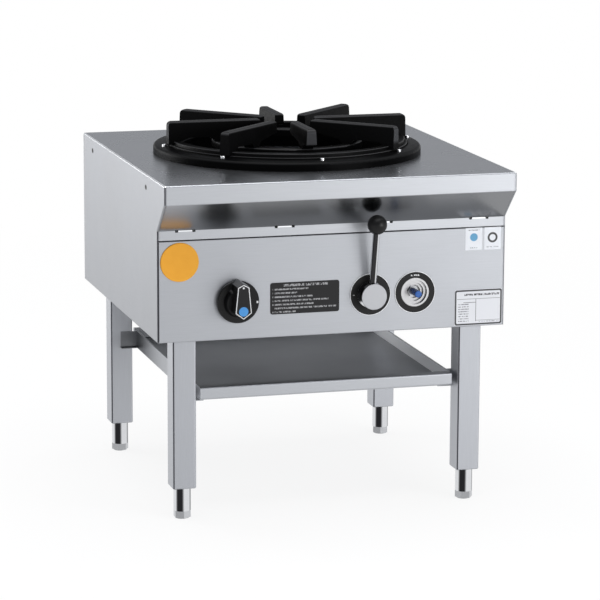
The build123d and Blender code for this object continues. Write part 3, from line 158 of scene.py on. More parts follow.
floor_tree.links.new(floor_mix.outputs[0], floor_tree.nodes["Material Output"].inputs["Surface"])
floor_bm = bmesh.new()
bmesh.ops.create_grid(floor_bm, x_segments=1, y_segments=1, size=floor_reach)
floor_rim = bmesh.ops.extrude_edge_only(floor_bm, edges=floor_bm.edges[:])
bmesh.ops.translate(floor_bm, vec=(0, 0, floor_rim_height), verts=new_points(floor_rim))
floor = mesh_piece("floor", floor_bm, floor_material)

world = bpy.data.worlds.new("studio")
world.use_nodes = True
scene.world = world
background = world.node_tree.nodes["Background"]
background.inputs["Color"].default_value = (0.40, 0.41, 0.43, 1.0)
background.inputs["Strength"].default_value = 1.0


def soft_box(name, place, target, width, height, power):
    """A rectangular lamp at place that faces target."""
    data = bpy.data.lights.new(name, "AREA")
    data.shape = "RECTANGLE"
    data.size = width
    data.size_y = height
    data.energy = power
    lamp = bpy.data.objects.new(name, data)
    direction = Vector(target) - Vector(place)
    turn = direction.to_track_quat("-Z", "Y").to_matrix().to_4x4()
    lamp.matrix_world = Matrix.Translation(place) @ turn
    scene.collection.objects.link(lamp)


soft_box("lamp_right", (2.35, -3.30, 0.75), (0.05, -0.26, 0.42), width=2.2, height=1.6, power=62.0)
soft_box("lamp_left", (-2.4, 2.3, 0.75), (-0.1, 0.0, 0.3), width=1.8, height=1.4, power=34.0)
soft_box("lamp_top", (0.0, -0.4, 4.6), (0.0, 0.0, 0.0), width=4.0, height=4.0, power=170.0)


# ------------------------------------------------------------------ stainless sheet and tube
# The housing, shelf and legs are brushed stainless steel, folded and spot welded. The grain runs
# along each sheet's length. Handling leaves faint soft marks, and rounded corners carry a painted
# dark reflection where they look to the front left.
def start_group(name, inputs, outputs):
    """A shader node group with named sockets. Returns it with its input and output nodes."""
    group = bpy.data.node_groups.new(name, "ShaderNodeTree")
    for socket_name, kind, value in inputs:
        socket = group.interface.new_socket(name=socket_name, in_out="INPUT", socket_type=kind)
        socket.default_value = value
    for socket_name, kind in outputs:
        group.interface.new_socket(name=socket_name, in_out="OUTPUT", socket_type=kind)
    return group, group.nodes.new("NodeGroupInput"), group.nodes.new("NodeGroupOutput")


def cloud(tree, coords, scale, detail, roughness=0.5):
    """A noise over the surface, mostly between 0.3 and 0.7. Returns its output."""
    noise = tree.nodes.new("ShaderNodeTexNoise")
    noise.inputs["Detail"].default_value = detail
    noise.inputs["Roughness"].default_value = roughness
    feed(tree, noise.inputs["Scale"], scale)
    feed(tree, noise.inputs["Vector"], coords)
    return noise.outputs["Fac"]


grain_group, grain_in, grain_out = start_group(
    "brushed_grain",
    [
        ("Stretch", "NodeSocketVector", (1.0, 1.0, 1.0)),
        ("Mark Scale", "NodeSocketFloat", 7.0),
    ],
    [("Grain", "NodeSocketFloat"), ("Marks", "NodeSocketFloat")],
)
grain_place = place_on(grain_group)
grain_lines = vector(grain_group, "MULTIPLY", grain_place, grain_in.outputs["Stretch"])
grain_group.links.new(cloud(grain_group, grain_lines, 1.0, 3.0, 0.65), grain_out.inputs["Grain"])
grain_group.links.new(
    cloud(grain_group, grain_place, grain_in.outputs["Mark Scale"], 4.0, 0.55),
    grain_out.inputs["Marks"],
)


def normal_on(tree):
    """The direction that each point of the surface faces, in the piece's own frame."""
    return tree.nodes.new("ShaderNodeTexCoord").outputs["Normal"]


front_left = (-0.485, -0.875, 0.0)
# A mask of the faces that look along a direction, either way, for painted light and shade.
streak_group, streak_in, streak_out = start_group(
    "painted_light_streak",
    [
        ("Direction", "NodeSocketVector", front_left),
        ("Start", "NodeSocketFloat", 0.86),
        ("Full", "NodeSocketFloat", 0.90),
    ],
    [("Streak", "NodeSocketFloat")],
)
streak_facing = vector(
    streak_group, "DOT_PRODUCT", normal_on(streak_group), streak_in.outputs["Direction"]
)
streak_mask = ramp(
    streak_group,
    number(streak_group, "ABSOLUTE", streak_facing),
    streak_in.outputs["Start"],
    streak_in.outputs["Full"],
    smooth=True,
)
streak_group.links.new(streak_mask, streak_out.inputs["Streak"])


def mixed_colour(tree, factor, first, second):
    """A Mix node from the first colour, plain or fed, to a second one. Returns its output."""
    mix = tree.nodes.new("ShaderNodeMix")
    mix.data_type = "RGBA"
    tree.links.new(factor, mix.inputs["Factor"])
    feed(tree, mix.inputs["A"], (*first, 1.0) if isinstance(first, tuple) else first)
    mix.inputs["B"].default_value = (*second, 1.0)
    return mix.outputs["Result"]


def cover(material, mask, colour):
    """Lays a colour over a material where a mask is 1."""
    tree = material.node_tree
    socket = tree.nodes["Principled BSDF"].inputs["Base Color"]
    tree.links.new(mixed_colour(tree, mask, socket.links[0].from_socket, colour), socket)


def roughen(material, mask, step):
    """Adds a step to a material's roughness where a mask is 1."""
    tree = material.node_tree
    socket = tree.nodes["Principled BSDF"].inputs["Roughness"]
    tree.links.new(number(tree, "MULTIPLY_ADD", mask, step, socket.links[0].from_socket), socket)


def streak(material, direction, start, full, colour):
    """Paints a streak of light or shade over a material where its faces look along a direction."""
    mask = material.node_tree.nodes.new("ShaderNodeGroup")
    mask.node_tree = streak_group
    mask.inputs["Direction"].default_value = direction
    mask.inputs["Start"].default_value = start
    mask.inputs["Full"].default_value = full
    cover(material, mask.outputs["Streak"], colour)


def spread(tree, noise, low, high):
    """A noise, spread from low to high."""
    return ramp(tree, noise, 0.3, 0.7, low, high)


corner_painted_reflection = (0.06, 0.06, 0.07)


def brushed_steel(name, stretch, dark, pale, smooth, rough):
    """Brushed steel whose grain runs along the axis with the small stretch."""
    material, tree, shader = start_finish(name, rough, metallic=1.0)
    grain = tree.nodes.new("ShaderNodeGroup")
    grain.node_tree = grain_group
    grain.inputs["Stretch"].default_value = stretch
    colour = mixed_colour(tree, grain.outputs["Grain"], dark, pale)
    tree.links.new(colour, shader.inputs["Base Color"])
    tree.links.new(spread(tree, grain.outputs["Marks"], smooth, rough), shader.inputs["Roughness"])
    # A painted dark reflection on the rounded corners that look to the front left.
    streak(material, front_left, 0.91, 0.96, corner_painted_reflection)
    return material


along_x = (25, 900, 900)
along_y = (900, 25, 900)
along_z = (900, 900, 25)
# Each sheet has its own copy of the steel, with its own brushing and roughness, and a tone set lighter
# or darker for the light that falls on it: painted light and shade.
panel_sheet = brushed_steel(
    "brushed_panel", along_x, (0.365, 0.376, 0.400), (0.42, 0.433, 0.460), smooth=0.42, rough=0.48
)
hob_sheet = brushed_steel(
    "brushed_hob", along_x, (0.40, 0.412, 0.436), (0.46, 0.474, 0.50), smooth=0.25, rough=0.29
)
side_sheet = brushed_steel(
    "brushed_side", along_y, (0.278, 0.287, 0.308), (0.322, 0.333, 0.356), smooth=0.34, rough=0.42
)
leg_tube = brushed_steel(
    "brushed_tube", along_z, (0.375, 0.386, 0.412), (0.435, 0.448, 0.478), smooth=0.38, rough=0.46
)
tray_sheet = brushed_steel(
    "brushed_tray", along_x, (0.39, 0.402, 0.426), (0.45, 0.464, 0.49), smooth=0.34, rough=0.40
)
rail_sheet = brushed_steel(
    "brushed_rail", along_y, (0.35, 0.361, 0.382), (0.41, 0.423, 0.446), smooth=0.34, rough=0.42
)


def part_of(tree, coords, axis):
    """One coordinate of a vector."""
    split = tree.nodes.new("ShaderNodeSeparateXYZ")
    tree.links.new(coords, split.inputs[0])
    return split.outputs[axis]


def facing(tree, axis, start, full):
    """A mask of the faces that look along an axis: 0 at the start value of the normal, 1 at full."""
    return ramp(tree, part_of(tree, normal_on(tree), axis), start, full)


def times(tree, a, b):
    """The product of two values."""
    return number(tree, "MULTIPLY", a, b)


def joined(tree, masks):
    """The highest of several masks."""
    result = masks[0]
    for mask in masks[1:]:
        result = number(tree, "MAXIMUM", result, mask)
    return result


def bar_mask(tree, coords, centre_x, centre_z, half_width, half_height, soft=0.0003):
    """A mask that is 1 inside a rectangle in X and Z."""
    sides = []
    for axis, centre, half in (("X", centre_x, half_width), ("Z", centre_z, half_height)):
        shift = number(tree, "SUBTRACT", part_of(tree, coords, axis), centre)
        sides.append(ramp(tree, number(tree, "ABSOLUTE", shift), half + soft, half - soft))
    return times(tree, *sides)


def axis_distance(tree, coords, centre, across):
    """The distance from an axis through centre, over the directions that across keeps."""
    shift = vector(tree, "SUBTRACT", coords, centre)
    return vector(tree, "LENGTH", vector(tree, "MULTIPLY", shift, across))


def round_mask(tree, coords, centre, across, radius, soft):
    """A mask that is 1 within a radius of an axis."""
    return ramp(tree, axis_distance(tree, coords, centre, across), radius + soft, radius - soft)


# The hob's front is brushed coarser than its top. Cleaning has polished the sloping soffit, which
# carries painted shade, lighter at the left end.
shade_start_x = -0.29
shade_full_x = -0.20
soffit_painted_shade = (0.235, 0.24, 0.25)
hob_tree = hob_sheet.node_tree
hob_place = place_on(hob_tree)
hob_front = times(hob_tree, facing(hob_tree, "Y", -0.12, -0.42), facing(hob_tree, "Z", -0.5, -0.2))
hob_soffit = facing(hob_tree, "Z", -0.2, -0.6)
soffit_shade_spread = ramp(
    hob_tree, part_of(hob_tree, hob_place, "X"), shade_start_x, shade_full_x, low=0.12, smooth=True
)
roughen(hob_sheet, hob_front, 0.17)
roughen(hob_sheet, hob_soffit, -0.08)
cover(hob_sheet, times(hob_tree, hob_soffit, soffit_shade_spread), soffit_painted_shade)

# The notches of the fold tabs are painted black, as shade in their hollows. Each tab is bent and
# carries a painted highlight.
fold_z = 0.4945
tab_places_x = (-0.2525, -0.0845, 0.0845, 0.2525)
tab_half_width = 0.0145
tab_drop = 0.0006
tab_bright_half = (0.0118, 0.0011)
notch_drop = 0.0007
notch_half = (0.0025, 0.0021)
tab_painted_highlight = (0.80, 0.81, 0.83)
painted_hollow_shade = (0.006, 0.006, 0.006)
tab_highlight_masks = []
notch_shade_masks = []
for tab_x in tab_places_x:
    tab_highlight_masks.append(bar_mask(hob_tree, hob_place, tab_x, fold_z - tab_drop, *tab_bright_half))
    for notch_x in (tab_x - tab_half_width, tab_x + tab_half_width):
        notch_shade_masks.append(bar_mask(hob_tree, hob_place, notch_x, fold_z - notch_drop, *notch_half))
cover(hob_sheet, joined(hob_tree, tab_highlight_masks), tab_painted_highlight)
cover(hob_sheet, joined(hob_tree, notch_shade_masks), painted_hollow_shade)

# The shelf's floor carries painted shade like the soffit's. Its upstand on the right is rougher,
# with a pale painted light.
shelf_painted_shade = (0.22, 0.226, 0.238)
painted_pale_light = (0.95, 0.96, 0.98)
tray_tree = tray_sheet.node_tree
tray_upstand = facing(tray_tree, "X", -0.6, -0.9)
roughen(tray_sheet, tray_upstand, 0.40)
cover(tray_sheet, facing(tray_tree, "Z", 0.6, 0.9), shelf_painted_shade)
cover(tray_sheet, tray_upstand, painted_pale_light)

# Inside, the side sheets are painted bright, as light in the gaps. Their cut top edges carry a
# painted highlight, and each screw sits in a disc of painted shade, which is a little longer than
# it is high.
screw_height = 0.5555
screw_places_y = (-0.1855, 0.2345)
dimple_height = 0.0044
dimple_shape = (0.0, 0.62, 1.0)
inside_painted_light = (0.90, 0.90, 0.90)
side_tree = side_sheet.node_tree
side_place = place_on(side_tree)
side_inward = ramp(
    side_tree,
    times(side_tree, part_of(side_tree, side_place, "X"), part_of(side_tree, normal_on(side_tree), "X")),
    -0.10,
    -0.20,
)
dimple_shade_masks = [
    round_mask(side_tree, side_place, (0.0, y, screw_height), dimple_shape, dimple_height, 0.0004)
    for y in screw_places_y
]
cover(side_sheet, side_inward, inside_painted_light)
cover(side_sheet, facing(side_tree, "Z", 0.2, 0.5), painted_pale_light)
cover(side_sheet, joined(side_tree, dimple_shade_masks), painted_hollow_shade)

# The shelf's rails carry painted shade towards the back.
rail_shade_start_y = 0.02
rail_shade_full_y = 0.22
rail_painted_shade = (0.05, 0.051, 0.055)
rail_tree = rail_sheet.node_tree
rail_y = part_of(rail_tree, place_on(rail_tree), "Y")
rail_shade_mask = ramp(rail_tree, rail_y, rail_shade_start_y, rail_shade_full_y, high=0.62, smooth=True)
cover(rail_sheet, rail_shade_mask, rail_painted_shade)


def finish(material, *names):
    """Puts a material on CAD nodes."""
    for name in names:
        slots = nodes[name].data.materials
        slots.clear()
        slots.append(material)


corners = ("front_left", "front_right", "back_left", "back_right")
finish(panel_sheet, "front_panel", "back_panel", "base_pan")
finish(hob_sheet, "hob_top")
finish(tray_sheet, "shelf_tray")
finish(side_sheet, "side_panel_left", "side_panel_right")
finish(rail_sheet, "shelf_rail_left", "shelf_rail_right")
finish(leg_tube, "leg_end_plugs", *[f"leg_{corner}" for corner in corners])


def flat_bar(width, height):
    """A bmesh of a flat rectangle about the origin."""
    bm = bmesh.new()
    bmesh.ops.create_grid(bm, x_segments=1, y_segments=1, size=0.5)
    bmesh.ops.scale(bm, vec=(width, height, 1), verts=bm.verts)
    return bm


def stand_up(bm, depth):
    """Turns a flat bmesh upright, to face along Y, and gives it a thickness."""
    bmesh.ops.rotate(bm, cent=(0, 0, 0), matrix=Matrix.Rotation(quarter_turn, 3, "X"), verts=bm.verts)
    made = bmesh.ops.extrude_face_region(bm, geom=bm.faces[:])
    bmesh.ops.translate(bm, vec=(0, depth, 0), verts=new_points(made))


# A thin steel strip closes the gap between the front sheet and the right side sheet, so that the
# gap shows no shade there.
gap_strip_width = 0.0022
gap_strip_height = 0.1680
gap_strip_thickness = 0.0012
gap_strip_edge = 0.0002
gap_strip_place = (0.2974, -0.2613, 0.3929)
strip_bm = flat_bar(gap_strip_width, gap_strip_height)
stand_up(strip_bm, gap_strip_thickness)
bmesh.ops.bevel(
    strip_bm,
    geom=strip_bm.edges[:],
    offset=gap_strip_edge,
    offset_type="OFFSET",
    segments=2,
    profile=0.5,
    affect="EDGES",
    material=-1,
)
bmesh.ops.translate(strip_bm, vec=gap_strip_place, verts=strip_bm.verts)
gap_strip = mesh_piece("right_gap_strip", strip_bm, panel_sheet)
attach(gap_strip, "frame")


# ------------------------------------------------------------------ plated screws, bolts and stand
# The casing screws are blacked countersunk steel, and the ring's cap screws are brightly plated.
# The bolts of the legs, the feet, the burner stand, the air shutter and the thermocouple are
# zinc-plated steel, pressed or turned.
def bumped(tree, shader, height, strength, distance):
    """A Bump node from a height into a shader's normal."""
    bump = tree.nodes.new("ShaderNodeBump")
    bump.inputs["Strength"].default_value = strength
    bump.inputs["Distance"].default_value = distance
    tree.links.new(height, bump.inputs["Height"])
    tree.links.new(bump.outputs["Normal"], shader.inputs["Normal"])


def mottled(name, dark, pale, smooth, rough, scale, metallic=0.0, bump=0.0, gloss=0.5):
    """A finish with fine mottling of colour and roughness, and a slight bump."""
    material, tree, shader = start_finish(name, rough, metallic, gloss)
    spots = cloud(tree, place_on(tree), scale, 4.0)
    tree.links.new(mixed_colour(tree, spots, dark, pale), shader.inputs["Base Color"])
    tree.links.new(spread(tree, spots, smooth, rough), shader.inputs["Roughness"])
    if bump:
        bumped(tree, shader, spots, bump, 0.001)
    return material


foot_shade = (0.36, 0.366, 0.38)
zinc = mottled(
    "zinc_plate",
    (0.34, 0.35, 0.37),
    (0.46, 0.47, 0.49),
    smooth=0.28,
    rough=0.40,
    scale=220,
    metallic=1.0,
)
foot_zinc = mottled(
    "foot_zinc",
    (0.50, 0.51, 0.53),
    (0.62, 0.63, 0.65),
    smooth=0.26,
    rough=0.36,
    scale=220,
    metallic=1.0,
)
bright_zinc = mottled(
    "bright_zinc_plate",
    (0.75, 0.76, 0.78),
    (0.9, 0.9, 0.92),
    smooth=0.12,
    rough=0.25,
    scale=400,
    metallic=1.0,
)
blacked = mottled(
    "blacked_steel",
    (0.006, 0.006, 0.006),
    (0.012, 0.012, 0.012),
    smooth=0.4,
    rough=0.55,
    scale=400,
    gloss=0.02,
)
# The feet are a paler copy of the zinc, with painted shade on the facets that look to the front left.
streak(foot_zinc, front_left, 0.55, 0.97, foot_shade)
finish(zinc, "leg_bolts", "burner_stand", "air_shutter", "thermocouple")
finish(foot_zinc, *[f"foot_{corner}" for corner in corners])
finish(bright_zinc, "ring_screws")
finish(blacked, "casing_screws")

# ------------------------------------------------------------------ chromed parts
# The foot sleeves, the lever's collar and rod and the button's nut are turned steel with chrome.
# Bright round metal mirrors the dark side of a room as streaks, and here they are painted
# reflections in its colour.
painted_reflection_black = (0.010, 0.010, 0.011)
front_right = (0.883, -0.469, 0.0)
sleeve_streaks = (
    (front_left, 0.85, 0.97, (0.020, 0.020, 0.022)),
    (front_right, 0.93, 0.99, (0.20, 0.205, 0.215)),
)
collar_streaks = (((-0.55, -0.78, 0.30), 0.74, 0.84, painted_reflection_black),)
rod_streaks = ((front_left, 0.72, 0.80, (0.036, 0.036, 0.038)),)
nut_streaks = (((-0.96, 0.0, 0.28), 0.45, 0.70, painted_reflection_black),)
bright_plate = ((0.66, 0.67, 0.69), (0.76, 0.77, 0.79))
rod_plate = ((0.60, 0.61, 0.63), (0.68, 0.69, 0.71))
dull_plate = ((0.38, 0.39, 0.41), (0.46, 0.47, 0.49))
chromes = (
    ("chrome_plate", "foot_sleeves", bright_plate, 0.08, 0.14, sleeve_streaks),
    ("collar_chrome", "lever_collar", bright_plate, 0.12, 0.18, collar_streaks),
    ("rod_chrome", "lever_rod", rod_plate, 0.10, 0.16, rod_streaks),
    ("dull_chrome", "button_nut", dull_plate, 0.24, 0.32, nut_streaks),
)
for finish_name, node_name, (dark, pale), smooth, rough, streaks in chromes:
    chrome = mottled(finish_name, dark, pale, smooth, rough, scale=60, metallic=1.0)
    for direction, start, full, colour in streaks:
        streak(chrome, direction, start, full, colour)
    finish(chrome, node_name)


# ------------------------------------------------------------------ burner ring and trivet
# Both are iron castings with a black enamel that keeps a little of the sand's texture. The trivet
# rests in the ring's recess, and eight small cap screws hold the ring to the hob.
def enamelled(name, smooth, rough, gloss, edge_low, edge_high, edge_painted_highlight):
    """Black enamel, with a painted highlight on the edges whose normals rise between two values."""
    material = mottled(
        name,
        (0.0012, 0.0012, 0.0013),
        (0.0024, 0.0024, 0.0026),
        smooth,
        rough,
        scale=280,
        bump=0.10,
        gloss=gloss,
    )
    tree = material.node_tree
    rising = facing(tree, "Z", edge_low - 0.15, edge_low + 0.15)
    falling = facing(tree, "Z", edge_high + 0.10, edge_high - 0.10)
    cover(material, times(tree, rising, falling), edge_painted_highlight)
    return material


ring_enamel = enamelled(
    "ring_enamel",
    smooth=0.32,
    rough=0.44,
    gloss=0.03,
    edge_low=0.35,
    edge_high=0.80,
    edge_painted_highlight=(0.012, 0.012, 0.0125),
)
trivet_enamel = enamelled(
    "trivet_enamel",
    smooth=0.40,
    rough=0.54,
    gloss=0.06,
    edge_low=0.40,
    edge_high=0.85,
    edge_painted_highlight=(0.045, 0.045, 0.047),
)

# The tops of the fins carry a painted lighter tone, as light falls on them. The fins' outer ends,
# which look out from the middle of the burner, carry a paler painted light. Painted shade makes
# the trivet darkest where it looks towards the front left.
fin_foot_z = 0.606
fin_clear_z = 0.612
burner_middle = (-0.006, 0.005, 0.0)
fin_top_painted_light = (0.024, 0.024, 0.025)
fin_end_painted_light = (0.055, 0.056, 0.060)
enamel_shade = (0.003, 0.003, 0.0032)
trivet_tree = trivet_enamel.node_tree
trivet_place = place_on(trivet_tree)
on_fin = ramp(trivet_tree, part_of(trivet_tree, trivet_place, "Z"), fin_foot_z, fin_clear_z)
fin_top = times(trivet_tree, facing(trivet_tree, "Z", 0.80, 0.95), on_fin)
from_middle = vector(trivet_tree, "SUBTRACT", trivet_place, burner_middle)
level = vector(trivet_tree, "MULTIPLY", from_middle, (1.0, 1.0, 0.0))
outward = vector(trivet_tree, "NORMALIZE", level)
looks_out = vector(trivet_tree, "DOT_PRODUCT", outward, normal_on(trivet_tree))
fin_end = times(trivet_tree, ramp(trivet_tree, looks_out, 0.90, 0.97), on_fin)
cover(trivet_enamel, fin_top, fin_top_painted_light)
cover(trivet_enamel, fin_end, fin_end_painted_light)
streak(trivet_enamel, front_left, 0.86, 0.95, enamel_shade)
finish(ring_enamel, "burner_ring")
finish(trivet_enamel, "trivet")

# ------------------------------------------------------------------ burner
# The bowl, the ported head and the mixing tube are raw grey iron castings. They keep the rough
# skin of the sand, and the heat has darkened them.
burner_iron = mottled(
    "burner_iron",
    (0.020, 0.019, 0.018),
    (0.055, 0.050, 0.046),
    smooth=0.55,
    rough=0.75,
    scale=180,
    metallic=0.3,
    bump=0.35,
)
finish(burner_iron, "burner_body", "burner_head", "mixing_tube")

# ------------------------------------------------------------------ gas train
# Taps, injector, pilot and inlet are turned brass, and the pipes are zinc-plated steel tube. The
# ignition electrode is glazed ceramic, and its lead has a red silicone cover.
brass = mottled(
    "turned_brass",
    (0.52, 0.37, 0.15),
    (0.66, 0.49, 0.22),
    smooth=0.24,
    rough=0.38,
    scale=120,
    metallic=1.0,
)
pipe = mottled(
    "plated_pipe",
    (0.38, 0.39, 0.40),
    (0.50, 0.51, 0.52),
    smooth=0.30,
    rough=0.45,
    scale=90,
    metallic=1.0,
)
ceramic = mottled(
    "glazed_ceramic", (0.78, 0.76, 0.70), (0.86, 0.85, 0.80), smooth=0.15, rough=0.30, scale=150
)
silicone = mottled(
    "silicone_cover", (0.22, 0.030, 0.022), (0.32, 0.045, 0.032), smooth=0.5, rough=0.7, scale=200
)
finish(brass, "injector", "gas_inlet", "tap_body", "tap_plug", "knob_spindle", "pilot_burner")
finish(brass, "lever_valve_body", "lever_spindle")
finish(pipe, "gas_manifold", "main_feed_pipe", "pilot_pipe")
finish(ceramic, "ignition_electrode")
finish(silicone, "igniter_lead")

# ------------------------------------------------------------------ gas knob
# The knob is a moulded black thermoset with a fine satin skin. A white mark is printed on its
# skirt, and the plate on its grip has a printed white outline, a white dot and a blue dot.
satin_gloss = 0.25
panel_face_y = -0.2615
control_height = 0.3725
knob_axis = Vector((-0.165, panel_face_y, control_height))
grip_slope = (-0.462, 0.0, 0.887)
slope_shine = (0.12, 0.121, 0.125)
plastic = mottled(
    "black_thermoset",
    (0.002, 0.002, 0.0022),
    (0.004, 0.004, 0.0044),
    smooth=0.26,
    rough=0.34,
    scale=700,
    bump=0.03,
    gloss=satin_gloss,
)
# A painted highlight on faces that look up and to the left, as the grip's slope does.
streak(plastic, grip_slope, 0.94, 0.985, slope_shine)
plate_black = mottled(
    "printed_black",
    (0.006, 0.006, 0.0065),
    (0.010, 0.010, 0.0108),
    smooth=0.35,
    rough=0.45,
    scale=500,
    gloss=satin_gloss,
)
white_ink = mottled(
    "white_ink", (0.62, 0.62, 0.63), (0.72, 0.72, 0.73), smooth=0.4, rough=0.5, scale=600
)
blue_ink = mottled(
    "blue_ink", (0.035, 0.22, 0.55), (0.06, 0.30, 0.68), smooth=0.3, rough=0.4, scale=260
)
finish(plastic, "gas_knob", "lever_hub", "igniter_body")
finish(plate_black, "knob_plate")

ink_thickness = 0.0001
plate_front = 0.0432
skirt_front = 0.0095


def printed(bm, name, ink, distance):
    """Turns a flat bmesh, drawn about the knob's axis, into a thin print in front of the panel."""
    stand_up(bm, -ink_thickness)
    bmesh.ops.translate(bm, vec=knob_axis + Vector((0, -distance, 0)), verts=bm.verts)
    piece = mesh_piece(name, bm, ink)
    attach(piece, "knob")


# The outline on the grip's plate widens downwards, and is pointed at both ends.
outline_width = 0.0014
outline_points = [
    (0.0, 0.0355),
    (-0.0094, 0.0306),
    (-0.0136, -0.0122),
    (0.0, -0.0222),
    (0.0136, -0.0122),
    (0.0094, 0.0306),
]
outline_bm = bmesh.new()
outline_face = outline_bm.faces.new([outline_bm.verts.new((x, y, 0)) for x, y in outline_points])
outline_bm.normal_update()
outline_rim = bmesh.ops.inset_region(
    outline_bm, faces=[outline_face], thickness=outline_width, use_even_offset=True, use_boundary=True
)
outline_inside = [face for face in outline_bm.faces if face not in outline_rim["faces"]]
bmesh.ops.delete(outline_bm, geom=outline_inside, context="FACES")
printed(outline_bm, "knob_plate_outline", white_ink, plate_front)

dots = (
    ("knob_plate_white_dot", white_ink, 0.0017, 0.0298),
    ("knob_plate_blue_dot", blue_ink, 0.0078, -0.0094),
)
for name, ink, radius, rise in dots:
    dot_bm = bmesh.new()
    bmesh.ops.create_circle(dot_bm, cap_ends=True, segments=40, radius=radius)
    bmesh.ops.translate(dot_bm, vec=(0, rise, 0), verts=dot_bm.verts)
    printed(dot_bm, name, ink, plate_front)

# The white mark on the skirt's front edge, at three o'clock.
skirt_mark_width = 0.0030
skirt_mark_height = 0.0034
skirt_mark_place = (0.0322, -0.0010, 0)
mark_bm = flat_bar(skirt_mark_width, skirt_mark_height)
bmesh.ops.translate(mark_bm, vec=skirt_mark_place, verts=mark_bm.verts)
printed(mark_bm, "knob_skirt_mark", white_ink, skirt_front)


# ------------------------------------------------------------------ lever
# A black phenolic ball on a chromed steel rod, in a moulded hub. The hub carries a satin disc whose
# turning marks run round it. The flat round plates behind the lever and the button are printed.
around_y = (1.0, 0.0, 1.0)
leftward = (-1.0, 0.0, 0.0)


def turned_finish(name, centre, dark, pale, smooth, rough, ring_scale, side_painted_shade):
    """Lathe-turned metal: fine rings about an axis along Y through centre, and painted shade on the
    sides that look left or right.
    """
    material, tree, shader = start_finish(name, rough, metallic=1.0)
    rings = tree.nodes.new("ShaderNodeTexNoise")
    rings.noise_dimensions = "1D"
    rings.inputs["Scale"].default_value = ring_scale
    rings.inputs["Detail"].default_value = 3.0
    tree.links.new(axis_distance(tree, place_on(tree), centre, around_y), rings.inputs["W"])
    ring_marks = rings.outputs["Fac"]
    tree.links.new(mixed_colour(tree, ring_marks, dark, pale), shader.inputs["Base Color"])
    tree.links.new(spread(tree, ring_marks, smooth, rough), shader.inputs["Roughness"])
    bumped(tree, shader, ring_marks, 0.08, 0.0002)
    streak(material, leftward, 0.40, 0.75, side_painted_shade)
    return material


lever_axis = (0.064, panel_face_y, control_height)
button_axis = (0.142, panel_face_y, control_height)
disc_steel = turned_finish(
    "turned_disc",
    lever_axis,
    (0.36, 0.366, 0.385),
    (0.42, 0.427, 0.448),
    smooth=0.40,
    rough=0.48,
    ring_scale=900,
    side_painted_shade=(0.30, 0.305, 0.32),
)
cup_steel = turned_finish(
    "spun_cup",
    button_axis,
    (0.42, 0.42, 0.43),
    (0.52, 0.52, 0.53),
    smooth=0.34,
    rough=0.42,
    ring_scale=700,
    side_painted_shade=(0.035, 0.035, 0.038),
)
ball_plastic = mottled(
    "polished_phenolic",
    (0.002, 0.002, 0.0022),
    (0.004, 0.004, 0.0044),
    smooth=0.36,
    rough=0.42,
    scale=90,
    gloss=satin_gloss,
)
finish(disc_steel, "lever_cap")
finish(cup_steel, "button_cup")
finish(ball_plastic, "lever_ball")


mark_rise = 260
bezel_marks_per_metre = 620
rim_start = 0.0342
rim_full = 0.0346
plate_ink = (0.006, 0.006, 0.0065)
rim_pale = (0.84, 0.85, 0.86)


def hatch(tree, coords, marks_per_metre):
    """A broken pattern of small upright marks."""
    marks = vector(tree, "MULTIPLY", coords, (marks_per_metre, 1, mark_rise))
    return ramp(tree, cloud(tree, marks, 1.0, 1.0), 0.36, 0.56)


def bezel_print(name, axis, marks):
    """A flat black round plate with a pale rim and one row of small pale marks."""
    x, z, half_width, half_height = marks
    material, tree, shader = start_finish(name, 0.42, gloss=satin_gloss)
    coords = place_on(tree)
    rim = ramp(tree, axis_distance(tree, coords, axis, around_y), rim_start, rim_full)
    row = bar_mask(tree, coords, axis[0] + x, axis[2] + z, half_width, half_height)
    mask = joined(tree, [rim, times(tree, row, hatch(tree, coords, bezel_marks_per_metre))])
    tree.links.new(mixed_colour(tree, mask, plate_ink, rim_pale), shader.inputs["Base Color"])
    return material


lever_marks = (-0.0290, 0.0, 0.0012, 0.0005)
button_marks = (0.0, 0.0288, 0.0082, 0.0012)
finish(bezel_print("lever_bezel_print", lever_axis, lever_marks), "lever_bezel")
finish(bezel_print("button_bezel_print", button_axis, button_marks), "button_bezel")

# ------------------------------------------------------------------ push button
# The igniter's plunger is glossy blue moulded plastic in a spun steel cup. It slides in the
# igniter's chromed nut, and its end, which faces forward, is paler.
paler_end_blue = (0.014, 0.095, 0.36)
button_blue = mottled(
    "blue_moulding", (0.008, 0.030, 0.12), (0.012, 0.042, 0.17), smooth=0.22, rough=0.34, scale=200
)
cover(button_blue, facing(button_blue.node_tree, "Y", -0.6, -0.9), paler_end_blue)
finish(button_blue, "push_button")


# ------------------------------------------------------------------ instruction plate
# A black printed aluminium plate with rounded corners, stuck to the front sheet. Its lines are rows
# of plain marks, which form no letters.
def plate_mask(tree, coords, box, start, end, top, bottom, soft):
    """A mask of a rectangle, in millimetres from a plate's left and top edges."""
    low, high = box
    return bar_mask(
        tree,
        coords,
        low.x + (start + end) / 2000,
        high.z - (top + bottom) / 2000,
        (end - start) / 2000,
        (bottom - top) / 2000,
        soft / 1000,
    )


